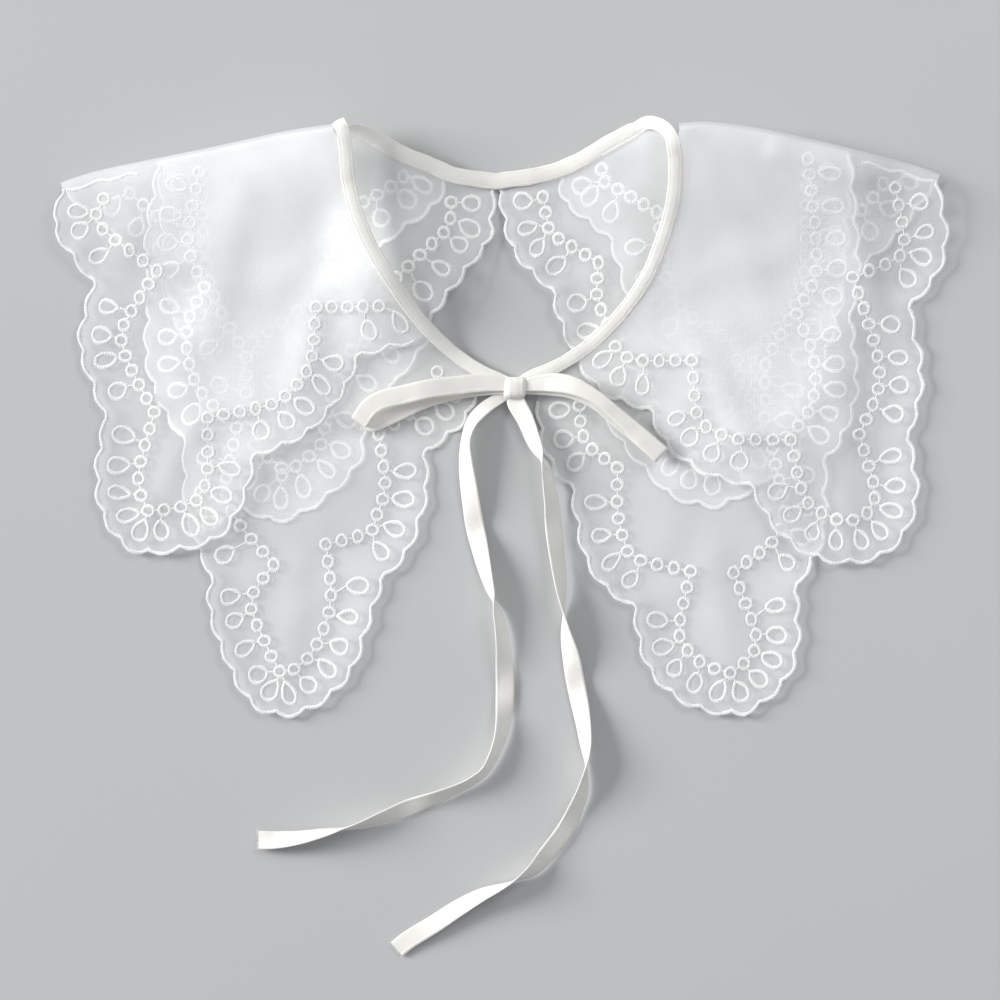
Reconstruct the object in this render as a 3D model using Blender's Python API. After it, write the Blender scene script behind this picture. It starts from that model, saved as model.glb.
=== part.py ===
"""A detachable lace collar, laid flat: two scalloped tiers on each side of one neck binding.

Each tier is one sheet of organza that goes from the front over the shoulder to the back. Laid
on a table the sheet is folded along the shoulder, so the back lies under the front. The outer
tier is folded round the under tier. A bound neck edge holds all four, and its ends are tied in
a bow at the front, with two free tails.

All tables are in millimetres. Their x runs to the right and y towards the shoulders, both from
the seam in the middle of the back neck, and z rises from the table.
"""

import math
from collections import namedtuple

import bpy
import bmesh
import numpy as np
from mathutils.geometry import delaunay_2d_cdt

MILLIMETRE = 0.001

# The points that a smooth curve gets between two of its table's rows
CURVE_PARTS = 12

# The footprint's middle, seen from the back neck seam, becomes the part's origin.
FOOTPRINT_MIDDLE = (2.35, -110.19)

# Cloth
WALL = 1.0
LAYER_GAP = 0.4
PITCH = WALL + LAYER_GAP
SEAM_GAP = 0.35
GRID = 10.5
GRID_MARGIN = 4.4
DRAPE_REACH = 30.0

# Shoulder folds. They stand off the table in a soft tent, whose front slopes out much further
# than its back. A shoulder has its rise and reach at the neck and at the outer hem.
Shoulder = namedtuple("Shoulder", "neck_rise hem_rise neck_reach hem_reach")
SHOULDERS = {
    "front": Shoulder(18.0, 5.0, 105.0, 50.0),
    "back": Shoulder(11.0, 1.0, 62.0, 24.0),
}
BEND_REACH = {"outer": 3.6, "under": 2.2}
FOLD_STEP = 8.0
NECK_STEP = 5.0
FOLD_SEGMENTS = 6

# Scalloped hem
SCALLOP_CHORD = 15.5
SCALLOP_DEPTH = 2.4
SCALLOP_POINTS = 4

# Neck binding
BINDING_FRONT_WIDTH = 6.6
BINDING_BACK_WIDTH = 8.0
BINDING_THICKNESS = 2.4
BINDING_STEP = 6.0
BINDING_ROUND = 0.5

# How far the tapes clear the table and the cloth below them
TAPE_GAP = 0.05

# Bow and tails, tied in the binding's own tape
TAPE_STEP = 5.5
KNOT_SIZE = (11.2, 10.4, 7.5)
KNOT_MIDDLE = (8.6, -96.0)
KNOT_ROUND = 2.2
LOOP_TIP_SEGMENTS = 6

ORGANZA_COLOUR = (0.86, 0.88, 0.90)
SATIN_COLOUR = (0.93, 0.92, 0.89)

# The layers at rest, from the table upwards
LAYERS = ("outer_back", "under_back", "under_front", "outer_front")
SIDES = ("left", "right")

# A hem runs from the neck to the shoulder, so its outside is on its left hand on the left half.
HEM_SIGN = {"left": 1.0, "right": -1.0}

Row = namedtuple("Row", "kind left_x left_y right_x right_y")
TapeRow = namedtuple("TapeRow", "x y turn width", defaults=(9.0,))
LoopRow = namedtuple("LoopRow", "x y width lift")
Swell = namedtuple("Swell", "x y reach_x reach_y height")

# Each tier's hem, from the neck to the shoulder fold. The two halves are cut alike and lie a
# little differently, so a row has the left and the right place of the same point. Two lobes
# meet at a notch, and a belly is a point on the round of a lobe.
HEMS = {
    "outer_front": (
        Row("start", -36, -73, 38, -83),
        Row("belly", -50, -77, 52, -99),
        Row("notch", -66, -81, 74, -107),
        Row("belly", -72, -96, 80, -122),
        Row("belly", -87, -115, 94, -134),
        Row("belly", -100, -123, 108, -140),
        Row("notch", -116, -129, 122, -143),
        Row("belly", -120, -147, 131, -160),
        Row("belly", -132, -167, 146, -174),
        Row("belly", -153, -174, 164, -180),
        Row("belly", -175, -174, 184, -177),
        Row("belly", -189, -157, 197, -164),
        Row("belly", -192, -135, 202, -145),
        Row("notch", -188, -109, 198, -119),
        Row("belly", -194, -95, 203, -102),
        Row("belly", -200, -77, 204, -84),
        Row("belly", -198, -60, 200, -66),
        Row("notch", -193, -46, 199, -56),
        Row("belly", -203, -34, 210, -44),
        Row("belly", -212, -18, 216, -25),
        Row("fold", -208, -1, 211, 3),
    ),
    "under_front": (
        Row("start", -9, -95, 19, -99),
        Row("belly", -14, -110, 21, -121),
        Row("belly", -23, -119, 28, -136),
        Row("notch", -34, -127, 36, -144),
        Row("belly", -33, -145, 38, -159),
        Row("belly", -38, -164, 43, -179),
        Row("belly", -44, -177, 53, -193),
        Row("notch", -54, -187, 66, -201),
        Row("belly", -60, -205, 68, -217),
        Row("belly", -68, -229, 75, -234),
        Row("belly", -80, -244, 90, -247),
        Row("belly", -98, -253, 106, -252),
        Row("belly", -117, -248, 122, -251),
        Row("belly", -130, -226, 139, -236),
        Row("belly", -138, -202, 145, -217),
        Row("notch", -137, -188, 144, -192),
        Row("belly", -149, -155, 157, -167),
        Row("notch", -150, -121, 158, -130),
        Row("belly", -160, -107, 166, -120),
        Row("belly", -168, -85, 173, -99),
        Row("belly", -168, -63, 172, -78),
        Row("notch", -166, -48, 170, -62),
        Row("belly", -168, -25, 174, -37),
        Row("fold", -162, 10, 169, 15),
    ),
    "under_back": (
        Row("start", -1, -1, 1, -1),
        Row("belly", -3, -24, 5, -23),
        Row("belly", -12, -37, 12, -36),
        Row("notch", -31, -62, 27, -50),
        Row("belly", -33, -74, 31, -66),
        Row("notch", -49, -94, 51, -109),
        Row("belly", -61, -110, 61, -124),
        Row("belly", -65, -130, 71, -135),
        Row("belly", -76, -144, 84, -148),
        Row("belly", -93, -156, 103, -153),
        Row("belly", -107, -160, 114, -150),
        Row("notch", -124, -153, 126, -143),
        Row("belly", -138, -125, 145, -126),
        Row("notch", -145, -88, 154, -92),
        Row("belly", -158, -48, 167, -48),
        Row("fold", -162, 10, 169, 15),
    ),
    "outer_back": (
        Row("start", -24, 4, 30, 5),
        Row("belly", -29, -8, 32, -6),
        Row("belly", -43, -19, 42, -15),
        Row("notch", -55, -28, 54, -24),
        Row("belly", -70, -62, 68, -64),
        Row("notch", -95, -88, 93, -90),
        Row("belly", -102, -111, 103, -114),
        Row("belly", -121, -127, 124, -126),
        Row("belly", -139, -116, 143, -114),
        Row("notch", -143, -91, 146, -87),
        Row("belly", -153, -68, 159, -68),
        Row("notch", -162, -42, 168, -44),
        Row("belly", -185, -22, 191, -24),
        Row("fold", -208, -1, 211, 3),
    ),
}

# The shoulder's crease, from the neck out to the outer tier's hem
SHOULDER_FOLD = (
    Row("fold", -81, 25.5, 90, 26.5),
    Row("fold", -99, 23, 102, 27),
    Row("fold", -123, 18, 126, 24),
    Row("fold", -147, 13, 155, 18),
    Row("fold", -188, 5, 196, 8),
    Row("fold", -208, -1, 211, 3),
)

# The binding's middle line, first from the bow up to the shoulder and then on to the back seam
NECK_FRONT = (
    Row("bow", 1, -92, 16, -91),
    Row("neck", -13, -85, 30, -85),
    Row("neck", -27, -74, 45, -75),
    Row("neck", -39, -61, 59, -61),
    Row("neck", -51, -44, 71, -44),
    Row("neck", -60, -29, 79, -25),
    Row("neck", -67, -13, 84, -6),
    Row("neck", -71, 4, 85, 11),
    Row("shoulder", -72, 18, 84, 19),
)
NECK_BACK = (
    Row("shoulder", -67, 27, 65, 27),
    Row("neck", -58, 23, 52, 20),
    Row("neck", -46, 16, 40, 13),
    Row("neck", -33, 11, 28, 8),
    Row("neck", -21, 6, 15, 5),
    Row("neck", -9, 4, 6, 4),
    Row("seam", 0, 3, 0, 3),
)

# The left shoulder of the binding is creased flat, the right one runs round in a soft loop.
CREASE_PLACE = (-73.5, 27.0)
CREASE_ANGLE = math.radians(30.0)
CREASE_REACH = 4.0
LOOP_TOP = ((72.0, 30.5), (78.0, 29.0), (82.5, 24.5))

# Soft swells that lift every layer together
SWELLS = (
    Swell(-30, 14, 34, 22, 3.5),
    Swell(44, 14, 26, 18, 1.5),
    Swell(112, -50, 40, 34, 1.8),
    Swell(-44, -38, 46, 54, 10.0),
)

# The two halves of the bow. The lift is the space between the tape's top and under runs.
LOOP_TOPS = {
    "left": (
        LoopRow(2.2, -94.6, 6.4, 1.7),
        LoopRow(-8, -93.8, 8.6, 2.6),
        LoopRow(-20, -95.0, 9.0, 4.2),
        LoopRow(-32, -96.5, 9.0, 5.0),
        LoopRow(-44.6, -99.6, 8.8, 4.6),
        LoopRow(-54, -102.4, 8.2, 3.8),
        LoopRow(-60.5, -106.2, 7.6, 3.0),
        LoopRow(-65, -111.6, 7.2, 2.4),
    ),
    "right": (
        LoopRow(15.0, -94.6, 6.4, 1.7),
        LoopRow(27, -93.6, 9.0, 3.0),
        LoopRow(37.4, -95.6, 8.4, 4.2),
        LoopRow(48.5, -101.4, 6.4, 4.4),
        LoopRow(58, -109.4, 6.8, 3.6),
        LoopRow(68.6, -119, 8.2, 2.8),
        LoopRow(78, -127.6, 9.0, 2.2),
    ),
}
LOOP_UNDERS = {
    "left": (
        LoopRow(-60.5, -112.2, 7.2, 0),
        LoopRow(-53.5, -110.0, 7.6, 0),
        LoopRow(-45, -106.4, 8.0, 0),
        LoopRow(-34.4, -101.8, 8.0, 0),
        LoopRow(-20, -98.0, 7.4, 0),
        LoopRow(-8, -96.6, 6.6, 0),
        LoopRow(2.2, -96.4, 5.6, 0),
    ),
    "right": (
        LoopRow(68.6, -119.8, 8.2, 0),
        LoopRow(57.2, -111.2, 7.0, 0),
        LoopRow(47.6, -103.4, 6.6, 0),
        LoopRow(36.2, -97.8, 7.4, 0),
        LoopRow(25.6, -96.4, 6.8, 0),
        LoopRow(15.0, -96.4, 5.6, 0),
    ),
}
LOOP_LOW_AT_KNOT = 4.0
LOOP_KNOT_REACH = 26.0
LOOP_CLEARANCE = 0.5

# The tails' routes over the cloth and the table. The turn is the tape's roll in degrees: flat
# at 0, on its edge at 90 and flat again, other side up, at 180.
TAILS = {
    "left": (
        TapeRow(2.2, -100.4, 0, 5.5),
        TapeRow(-5.2, -105.2, 15, 6.5),
        TapeRow(-11.8, -112.0, 48, 8.2),
        TapeRow(-15, -121, 62),
        TapeRow(-15, -131.5, 45),
        TapeRow(-13.8, -141.6, 28),
        TapeRow(-12.3, -152, 18),
        TapeRow(-10.5, -162.7, 5),
        TapeRow(-8.2, -173, 25),
        TapeRow(-5.8, -183.4, 45),
        TapeRow(-2.9, -194, 68),
        TapeRow(-1.6, -198.5, 90),
        TapeRow(0.4, -204.5, 117),
        TapeRow(2.4, -214.6, 135),
        TapeRow(3.3, -225, 150),
        TapeRow(3.9, -240.7, 175),
        TapeRow(3, -256.3, 145),
        TapeRow(0.5, -267, 128),
        TapeRow(-4.8, -278.4, 118),
        TapeRow(-11.5, -284.2, 118),
        TapeRow(-18.7, -288, 120),
        TapeRow(-30.3, -292.8, 135),
        TapeRow(-41.9, -297.1, 155),
        TapeRow(-53.6, -301.5, 135),
        TapeRow(-65.3, -305.4, 110),
        TapeRow(-74, -307.3, 90),
        TapeRow(-82.6, -309.1, 67),
        TapeRow(-94.3, -311.5, 47),
        TapeRow(-106, -312.8, 22),
        TapeRow(-114.3, -313, 5),
    ),
    "right": (
        TapeRow(9.3, -103.4, 10),
        TapeRow(13.6, -111.4, 25),
        TapeRow(17.3, -121, 40),
        TapeRow(19.7, -126.7, 60),
        TapeRow(21.6, -131.5, 90),
        TapeRow(24.7, -141.6, 130),
        TapeRow(26.2, -152, 143),
        TapeRow(27.1, -162.7, 155),
        TapeRow(28.3, -173, 150),
        TapeRow(29.7, -183.4, 140),
        TapeRow(30.9, -194, 121),
        TapeRow(31.9, -204.2, 90),
        TapeRow(33.2, -214.6, 56),
        TapeRow(35.5, -225, 24),
        TapeRow(37.4, -235.5, 5),
        TapeRow(39.4, -245.8, 15),
        TapeRow(41.3, -256.3, 35),
        TapeRow(42.5, -267, 55),
        TapeRow(42.7, -277, 90),
        TapeRow(41.3, -288, 125),
        TapeRow(38.4, -296.2, 142),
        TapeRow(32.8, -307.7, 160),
        TapeRow(24.1, -319.2, 155),
        TapeRow(16.8, -327.4, 130),
        TapeRow(6.9, -333.1, 90),
        TapeRow(-7, -338.9, 50),
        TapeRow(-18.7, -345.6, 27),
        TapeRow(-30.3, -353.3, 15),
        TapeRow(-41.9, -360.5, 5),
        TapeRow(-48, -365.4, 0),
    ),
}


def clear_scene():
    """Take away whatever objects the file starts with."""
    for item in list(bpy.data.objects):
        bpy.data.objects.remove(item, do_unlink=True)


def side_points(rows, side):
    """The left or the right places of a table's rows."""
    if side == "left":
        return np.array([(row.left_x, row.left_y) for row in rows], dtype=float)
    return np.array([(row.right_x, row.right_y) for row in rows], dtype=float)


def resample(line, count):
    """The same line with count steps along it, equal when seen from above."""
    steps = np.linalg.norm(np.diff(line[:, :2], axis=0), axis=1)
    along = np.concatenate(([0.0], np.cumsum(steps)))
    wanted = np.linspace(0.0, along[-1], count + 1)
    return np.column_stack([np.interp(wanted, along, line[:, axis]) for axis in range(line.shape[1])])


def length_of(line):
    """The length along a line of points, seen from above."""
    return float(np.linalg.norm(np.diff(line[:, :2], axis=0), axis=1).sum())


def smooth_through(points, step):
    """A smooth curve through the points, with a point about every step."""
    points = np.asarray(points, dtype=float)
    ends = np.vstack((2 * points[0] - points[1], points, 2 * points[-1] - points[-2]))
    fine = []
    for before, start, end, after in zip(ends, ends[1:], ends[2:], ends[3:]):
        for part in np.linspace(0.0, 1.0, CURVE_PARTS, endpoint=False):
            fine.append(0.5 * (2 * start + (end - before) * part
                               + (2 * before - 5 * start + 4 * end - after) * part ** 2
                               + (3 * start - before - 3 * end + after) * part ** 3))
    fine.append(points[-1])
    fine = np.array(fine)
    return resample(fine, max(1, round(length_of(fine) / step)))


def left_normals(line):
    """Unit vectors to the left of a line, at each of its points."""
    along = np.gradient(line, axis=0)
    along /= np.linalg.norm(along, axis=1)[:, None]
    return np.column_stack((-along[:, 1], along[:, 0]))


def scalloped_hem(rows, side):
    """A hem from its table: smooth lobes between notches, each with its whole scallops."""
    points = side_points(rows, side)
    notches = [0] + [index for index, row in enumerate(rows) if row.kind == "notch"] + [len(rows) - 1]
    hem = []
    for first, last in zip(notches, notches[1:]):
        lobe = smooth_through(points[first:last + 1], 1.0)
        scallops = max(1, round(length_of(lobe) / SCALLOP_CHORD))
        lobe = resample(lobe, scallops * SCALLOP_POINTS)
        phase = np.arange(len(lobe)) / SCALLOP_POINTS
        bulge = HEM_SIGN[side] * SCALLOP_DEPTH * (np.abs(np.sin(math.pi * phase)) - 0.5)
        bulged = lobe + bulge[:, None] * left_normals(lobe)
        bulged[0] = lobe[0]
        bulged[-1] = lobe[-1]
        hem.extend(bulged if first == 0 else bulged[1:])
    return np.array(hem)


def cut_at(line, place):
    """The line up to its point nearest to the place."""
    nearest = int(np.argmin(np.linalg.norm(line - place, axis=1)))
    return line[:nearest + 1]


def neck_edge(side, face):
    """Where the cloth meets the binding, from the shoulder fold towards the bow or back seam."""
    if face == "front":
        middle = smooth_through(side_points(NECK_FRONT, side), 2.0)[::-1]
        half = BINDING_FRONT_WIDTH / 2
    else:
        middle = smooth_through(side_points(NECK_BACK, side), 2.0)
        if side == "right":
            middle = np.vstack((LOOP_TOP[1], LOOP_TOP[0], middle))
        half = BINDING_BACK_WIDTH / 2
    return middle - HEM_SIGN[side] * (half + SEAM_GAP) * left_normals(middle)


def panel_outline(side, layer):
    """One layer's closed outline, which starts along the shoulder fold, and the fold's points."""
    face = layer.split("_")[1]
    hem = scalloped_hem(HEMS[layer], side)
    fold = smooth_through(side_points(SHOULDER_FOLD, side), 1.0)
    fold = cut_at(fold, hem[-1])
    fold = resample(fold, round(length_of(fold) / FOLD_STEP))
    neck = cut_at(neck_edge(side, face), hem[0])
    neck = resample(neck, max(1, round(length_of(neck) / NECK_STEP)))
    outline = np.vstack((fold[::-1], neck, hem[1:-1]))
    return outline, len(fold)


def place_in_outline(points, outline):
    """Whether each point lies inside a closed outline, and how far it lies from its edge."""
    start = outline
    end = np.roll(outline, -1, axis=0)
    edge = end - start
    to_point = points[:, None, :] - start[None, :, :]
    part = np.clip((to_point * edge).sum(axis=2) / (edge ** 2).sum(axis=1), 0.0, 1.0)
    away = np.linalg.norm(to_point - part[:, :, None] * edge, axis=2).min(axis=1)
    above = start[None, :, 1] > points[:, None, 1]
    crosses = above != (end[None, :, 1] > points[:, None, 1])
    rise = np.where(edge[:, 1] == 0, 1e-9, edge[:, 1])
    cross_x = start[:, 0] + (points[:, None, 1] - start[:, 1]) * edge[:, 0] / rise
    inside = (crosses & (points[:, None, 0] < cross_x)).sum(axis=1) % 2 == 1
    return inside, away


def swell_height(points):
    """The height of the soft swells at each point."""
    height = np.zeros(len(points))
    for swell in SWELLS:
        away = (points - (swell.x, swell.y)) / (swell.reach_x, swell.reach_y)
        square = (away ** 2).sum(axis=1)
        height += swell.height * np.where(square < 1.0, (1.0 - square) ** 2, 0.0)
    return height


def shoulder_height(points, face):
    """How much the shoulder folds hold the front or the back layers up, most at the crease."""
    shoulder = SHOULDERS[face]
    height = np.zeros(len(points))
    for side in SIDES:
        fold = smooth_through(side_points(SHOULDER_FOLD, side), 4.0)
        away = np.linalg.norm(points[:, None, :] - fold[None, :, :], axis=2).min(axis=1)
        run = fold[-1] - fold[0]
        along = np.clip((points - fold[0]) @ run / (run @ run), 0.0, 1.0)
        rise = shoulder.neck_rise + (shoulder.hem_rise - shoulder.neck_rise) * along
        reach = shoulder.neck_reach + (shoulder.hem_reach - shoulder.neck_reach) * along
        part = np.clip(1.0 - away / reach, 0.0, 1.0)
        height += rise * part * part * (3.0 - 2.0 * part)
    return height


def bed_height(points, outlines, layers):
    """The height that the named layers under a sheet bring it to, draped down past their hems."""
    height = swell_height(points)
    for layer in layers:
        for side in SIDES:
            inside, away = place_in_outline(points, outlines[side, layer])
            part = np.where(inside, 0.0, np.clip(away / DRAPE_REACH, 0.0, 1.0))
            height += PITCH * 0.5 * (1.0 + np.cos(math.pi * part))
    return height


def sheet_height(points, outlines, layer):
    """The height of a layer's middle surface."""
    lower = LAYERS[:LAYERS.index(layer)]
    return WALL / 2 + bed_height(points, outlines, lower) + shoulder_height(points, layer.split("_")[1])


def inner_grid(outline):
    """Points of one common triangular grid that lie well inside the outline."""
    row_step = GRID * math.sqrt(3) / 2
    low = np.floor(outline.min(axis=0) / (GRID, row_step)).astype(int) - 1
    high = np.ceil(outline.max(axis=0) / (GRID, row_step)).astype(int) + 1
    points = np.array([((column + 0.5 * (row % 2)) * GRID, row * row_step)
                       for row in range(low[1], high[1]) for column in range(low[0], high[0])])
    inside, away = place_in_outline(points, outline)
    return points[inside & (away > GRID_MARGIN)]


def triangulate(outline):
    """The outline filled with triangles on the common grid: its points and faces."""
    inner = inner_grid(outline)
    points = np.vstack((outline, inner))
    result = delaunay_2d_cdt([tuple(point) for point in points], [], [list(range(len(outline)))], 1, 1e-5)
    places, faces, sources = result[0], result[2], result[3]
    if len(places) != len(points):
        raise ValueError("an outline crosses itself")
    number = [source[0] for source in sources]
    return points, [[number[corner] for corner in face] for face in faces]


def make_material(name, colour, roughness):
    """A plain cloth finish."""
    material = bpy.data.materials.new(name)
    material.use_nodes = True
    shader = material.node_tree.nodes["Principled BSDF"]
    shader.inputs["Base Color"].default_value = (*colour, 1.0)
    shader.inputs["Roughness"].default_value = roughness
    shader.inputs["Metallic"].default_value = 0.0
    return material


def make_cloth(name, points, faces, wall, colour, roughness, rounding=0.0):
    """A named solid: a middle surface in millimetres, given its wall on both sides."""
    middle = np.array((*FOOTPRINT_MIDDLE, 0.0))
    mesh = bpy.data.meshes.new(name)
    mesh.from_pydata(((np.asarray(points) - middle) * MILLIMETRE).tolist(), [], faces)
    work = bmesh.new()
    work.from_mesh(mesh)
    bmesh.ops.recalc_face_normals(work, faces=work.faces)
    work.to_mesh(mesh)
    work.free()
    cloth = bpy.data.objects.new(name, mesh)
    bpy.context.scene.collection.objects.link(cloth)
    thickness = cloth.modifiers.new("wall", "SOLIDIFY")
    thickness.thickness = wall * MILLIMETRE
    thickness.offset = 0.0
    thickness.use_even_offset = True
    if rounding:
        edges = cloth.modifiers.new("rounding", "BEVEL")
        edges.width = rounding * MILLIMETRE
        edges.segments = 1
        edges.limit_method = "ANGLE"
        edges.angle_limit = math.radians(60.0)
    mesh.materials.append(make_material(name, colour, roughness))
    mesh.shade_smooth()
    mesh.set_sharp_from_angle(angle=math.radians(50.0))
    return cloth


def make_tier(side, tier, outlines, fold_count):
    """One folded sheet: its back on the table side, the round of the fold, and its front."""
    back_points, back_faces = triangulate(outlines[side, tier + "_back"])
    front_points, front_faces = triangulate(outlines[side, tier + "_front"])
    back_height = sheet_height(back_points, outlines, tier + "_back")
    front_height = sheet_height(front_points, outlines, tier + "_front")

    points = np.vstack((np.column_stack((back_points, back_height)),
                        np.column_stack((front_points, front_height))))
    points = points.tolist()
    faces = [list(face) for face in back_faces]
    faces += [[corner + len(back_points) for corner in face] for face in front_faces]

    crease = back_points[:fold_count]
    outward = left_normals(crease)
    outward *= np.sign(outward[:, 1].mean())
    rings = [list(range(fold_count))]
    for segment in range(1, FOLD_SEGMENTS):
        angle = math.pi * segment / FOLD_SEGMENTS
        ring = []
        for place in range(fold_count):
            low = back_height[place]
            high = front_height[place]
            reach = outward[place] * BEND_REACH[tier] * math.sin(angle)
            ring.append(len(points))
            points.append([*(crease[place] + reach), (low + high) / 2 - (high - low) / 2 * math.cos(angle)])
        rings.append(ring)
    rings.append([len(back_points) + place for place in range(fold_count)])
    for lower, upper in zip(rings, rings[1:]):
        for place in range(fold_count - 1):
            faces.append([lower[place], lower[place + 1], upper[place + 1], upper[place]])
    make_cloth(tier + "_tier_" + side, points, faces, WALL, ORGANZA_COLOUR, 0.6)


def ribbon_surface(middles, halves):
    """The middle surface of a tape from its middle line and its half-width vectors."""
    middles = np.asarray(middles)
    halves = np.asarray(halves)
    points = np.stack((middles - halves, middles + halves), axis=1).reshape(-1, 3)
    faces = [[2 * place, 2 * place + 1, 2 * place + 3, 2 * place + 2] for place in range(len(middles) - 1)]
    return points, faces


def flat_halves(line, width):
    """Level half-width vectors, to the left of a line seen from above."""
    return np.column_stack((left_normals(line[:, :2]) * np.reshape(width, (-1, 1)) / 2, np.zeros(len(line))))


def bed_under_tape(line, halves, outlines, layers):
    """The highest that the layers reach under a tape's two edges and its middle."""
    spots = [line[:, :2] + part * halves[:, :2] for part in (-1.0, -0.5, 0.0, 0.5, 1.0)]
    beds = [bed_height(spot, outlines, layers) + shoulder_height(spot, "front") for spot in spots]
    return np.max(beds, axis=0) + TAPE_GAP


def make_binding(outlines):
    """The bound neck edge, from the bow up the left front, round the back and down again."""
    back_layers = ("outer_back", "under_back")
    left_front = smooth_through(side_points(NECK_FRONT, "left"), BINDING_STEP)
    right_front = smooth_through(side_points(NECK_FRONT, "right"), BINDING_STEP)[::-1]
    left_back = smooth_through(side_points(NECK_BACK, "left"), BINDING_STEP)
    right_back = smooth_through(side_points(NECK_BACK, "right"), BINDING_STEP)[::-1]
    back = np.vstack((left_back, right_back[1:]))

    def raised(line, halves):
        return bed_under_tape(line, halves, outlines, back_layers) + BINDING_THICKNESS / 2

    def table_side(line):
        return BINDING_THICKNESS / 2 + TAPE_GAP + swell_height(line) + shoulder_height(line, "back")

    # The left front runs up to the crease, and its last half-width lies along the crease.
    crease = np.array((math.cos(CREASE_ANGLE), math.sin(CREASE_ANGLE), 0.0))
    front = np.vstack((left_front, CREASE_PLACE))
    front_halves = -flat_halves(front, BINDING_FRONT_WIDTH)
    front_halves[-1] = crease * BINDING_FRONT_WIDTH / 2
    front_high = raised(front, front_halves)
    middles = list(np.column_stack((front, front_high)))
    halves = list(front_halves)

    # The crease turns the tape over, down to the back's level.
    high = front_high[-1]
    low = table_side(np.array([CREASE_PLACE]))[0]
    outward = np.array((-crease[1], crease[0]))
    for segment in range(1, FOLD_SEGMENTS + 1):
        angle = math.pi * segment / FOLD_SEGMENTS
        place = np.array(CREASE_PLACE) + outward * CREASE_REACH * math.sin(angle)
        middles.append(np.array((*place, (low + high) / 2 + (high - low) / 2 * math.cos(angle))))
        halves.append(crease * BINDING_FRONT_WIDTH / 2)

    # The back lies on the table beside the back layers.
    widths = np.full(len(back), BINDING_BACK_WIDTH)
    widths[0] = BINDING_FRONT_WIDTH
    back_halves = flat_halves(back, widths)
    back_high = table_side(back)
    middles.extend(np.column_stack((back, back_high)))
    halves.extend(back_halves)

    # The soft loop climbs from the back's level to the front's.
    loop = smooth_through((back[-1], *LOOP_TOP, right_front[0]), BINDING_STEP / 2)[1:-1]
    loop_halves = flat_halves(loop, BINDING_FRONT_WIDTH)
    start_high = back_high[-1]
    end_high = raised(right_front[:1], flat_halves(right_front, BINDING_FRONT_WIDTH)[:1])[0]
    part = np.linspace(0.0, 1.0, len(loop) + 2)[1:-1]
    climb = part * part * (3.0 - 2.0 * part)
    middles.extend(np.column_stack((loop, start_high + (end_high - start_high) * climb)))
    halves.extend(loop_halves)
    right_halves = flat_halves(right_front, BINDING_FRONT_WIDTH)
    middles.extend(np.column_stack((right_front, raised(right_front, right_halves))))
    halves.extend(right_halves)

    points, faces = ribbon_surface(middles, halves)
    make_cloth("neck_binding", points, faces, BINDING_THICKNESS, SATIN_COLOUR, 0.45, BINDING_ROUND)


def make_knot():
    """The knot, a round-edged block of crossed tape."""
    work = bmesh.new()
    bmesh.ops.create_cube(work, size=1.0)
    place = np.array((*KNOT_MIDDLE, KNOT_SIZE[2] / 2)) - (*FOOTPRINT_MIDDLE, 0.0)
    for corner in work.verts:
        corner.co = (np.array(corner.co) * KNOT_SIZE + place) * MILLIMETRE
    mesh = bpy.data.meshes.new("tie_knot")
    work.to_mesh(mesh)
    work.free()
    knot = bpy.data.objects.new("tie_knot", mesh)
    bpy.context.scene.collection.objects.link(knot)
    edges = knot.modifiers.new("rounding", "BEVEL")
    edges.width = KNOT_ROUND * MILLIMETRE
    edges.segments = 3
    edges.limit_method = "NONE"
    mesh.materials.append(make_material("tie_knot", SATIN_COLOUR, 0.45))
    mesh.shade_smooth()
    mesh.set_sharp_from_angle(angle=math.radians(50.0))


def make_loop(side, outlines):
    """One half of the bow: the tape goes out on top, turns over at the tip and comes back."""
    top = smooth_through(LOOP_TOPS[side], TAPE_STEP)
    under = smooth_through((LOOP_TOPS[side][-1]._replace(lift=0), *LOOP_UNDERS[side]), TAPE_STEP)[1:]
    top_halves = flat_halves(top, top[:, 2])
    under_halves = -flat_halves(under, under[:, 2])
    tip = top[-1]
    tip_half = top_halves[-1]

    def low_height(line, halves):
        bed = bed_under_tape(line, halves, outlines, LAYERS) + WALL / 2 + LOOP_CLEARANCE
        away = np.linalg.norm(line[:, :2] - KNOT_MIDDLE, axis=1)
        near = np.clip(1.0 - away / LOOP_KNOT_REACH, 0.0, 1.0) ** 0.5
        return np.maximum(bed, bed * (1.0 - near) + np.maximum(bed, LOOP_LOW_AT_KNOT) * near)

    top_low = low_height(top, top_halves)
    under_low = low_height(under, under_halves)
    middles = list(np.column_stack((top[:, :2], top_low + top[:, 3])))
    halves = list(top_halves)
    outward = (top[-1, :2] - top[-2, :2]) / np.linalg.norm(top[-1, :2] - top[-2, :2])
    radius = tip[3] / 2
    for segment in range(1, LOOP_TIP_SEGMENTS + 1):
        angle = math.pi * segment / LOOP_TIP_SEGMENTS
        place = tip[:2] + outward * radius * math.sin(angle)
        middles.append(np.array((*place, top_low[-1] + radius + radius * math.cos(angle))))
        halves.append(tip_half)
    middles.extend(np.column_stack((under[:, :2], under_low)))
    halves.extend(under_halves)
    points, faces = ribbon_surface(middles, halves)
    make_cloth("bow_loop_" + side, points, faces, WALL, SATIN_COLOUR, 0.45)


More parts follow.
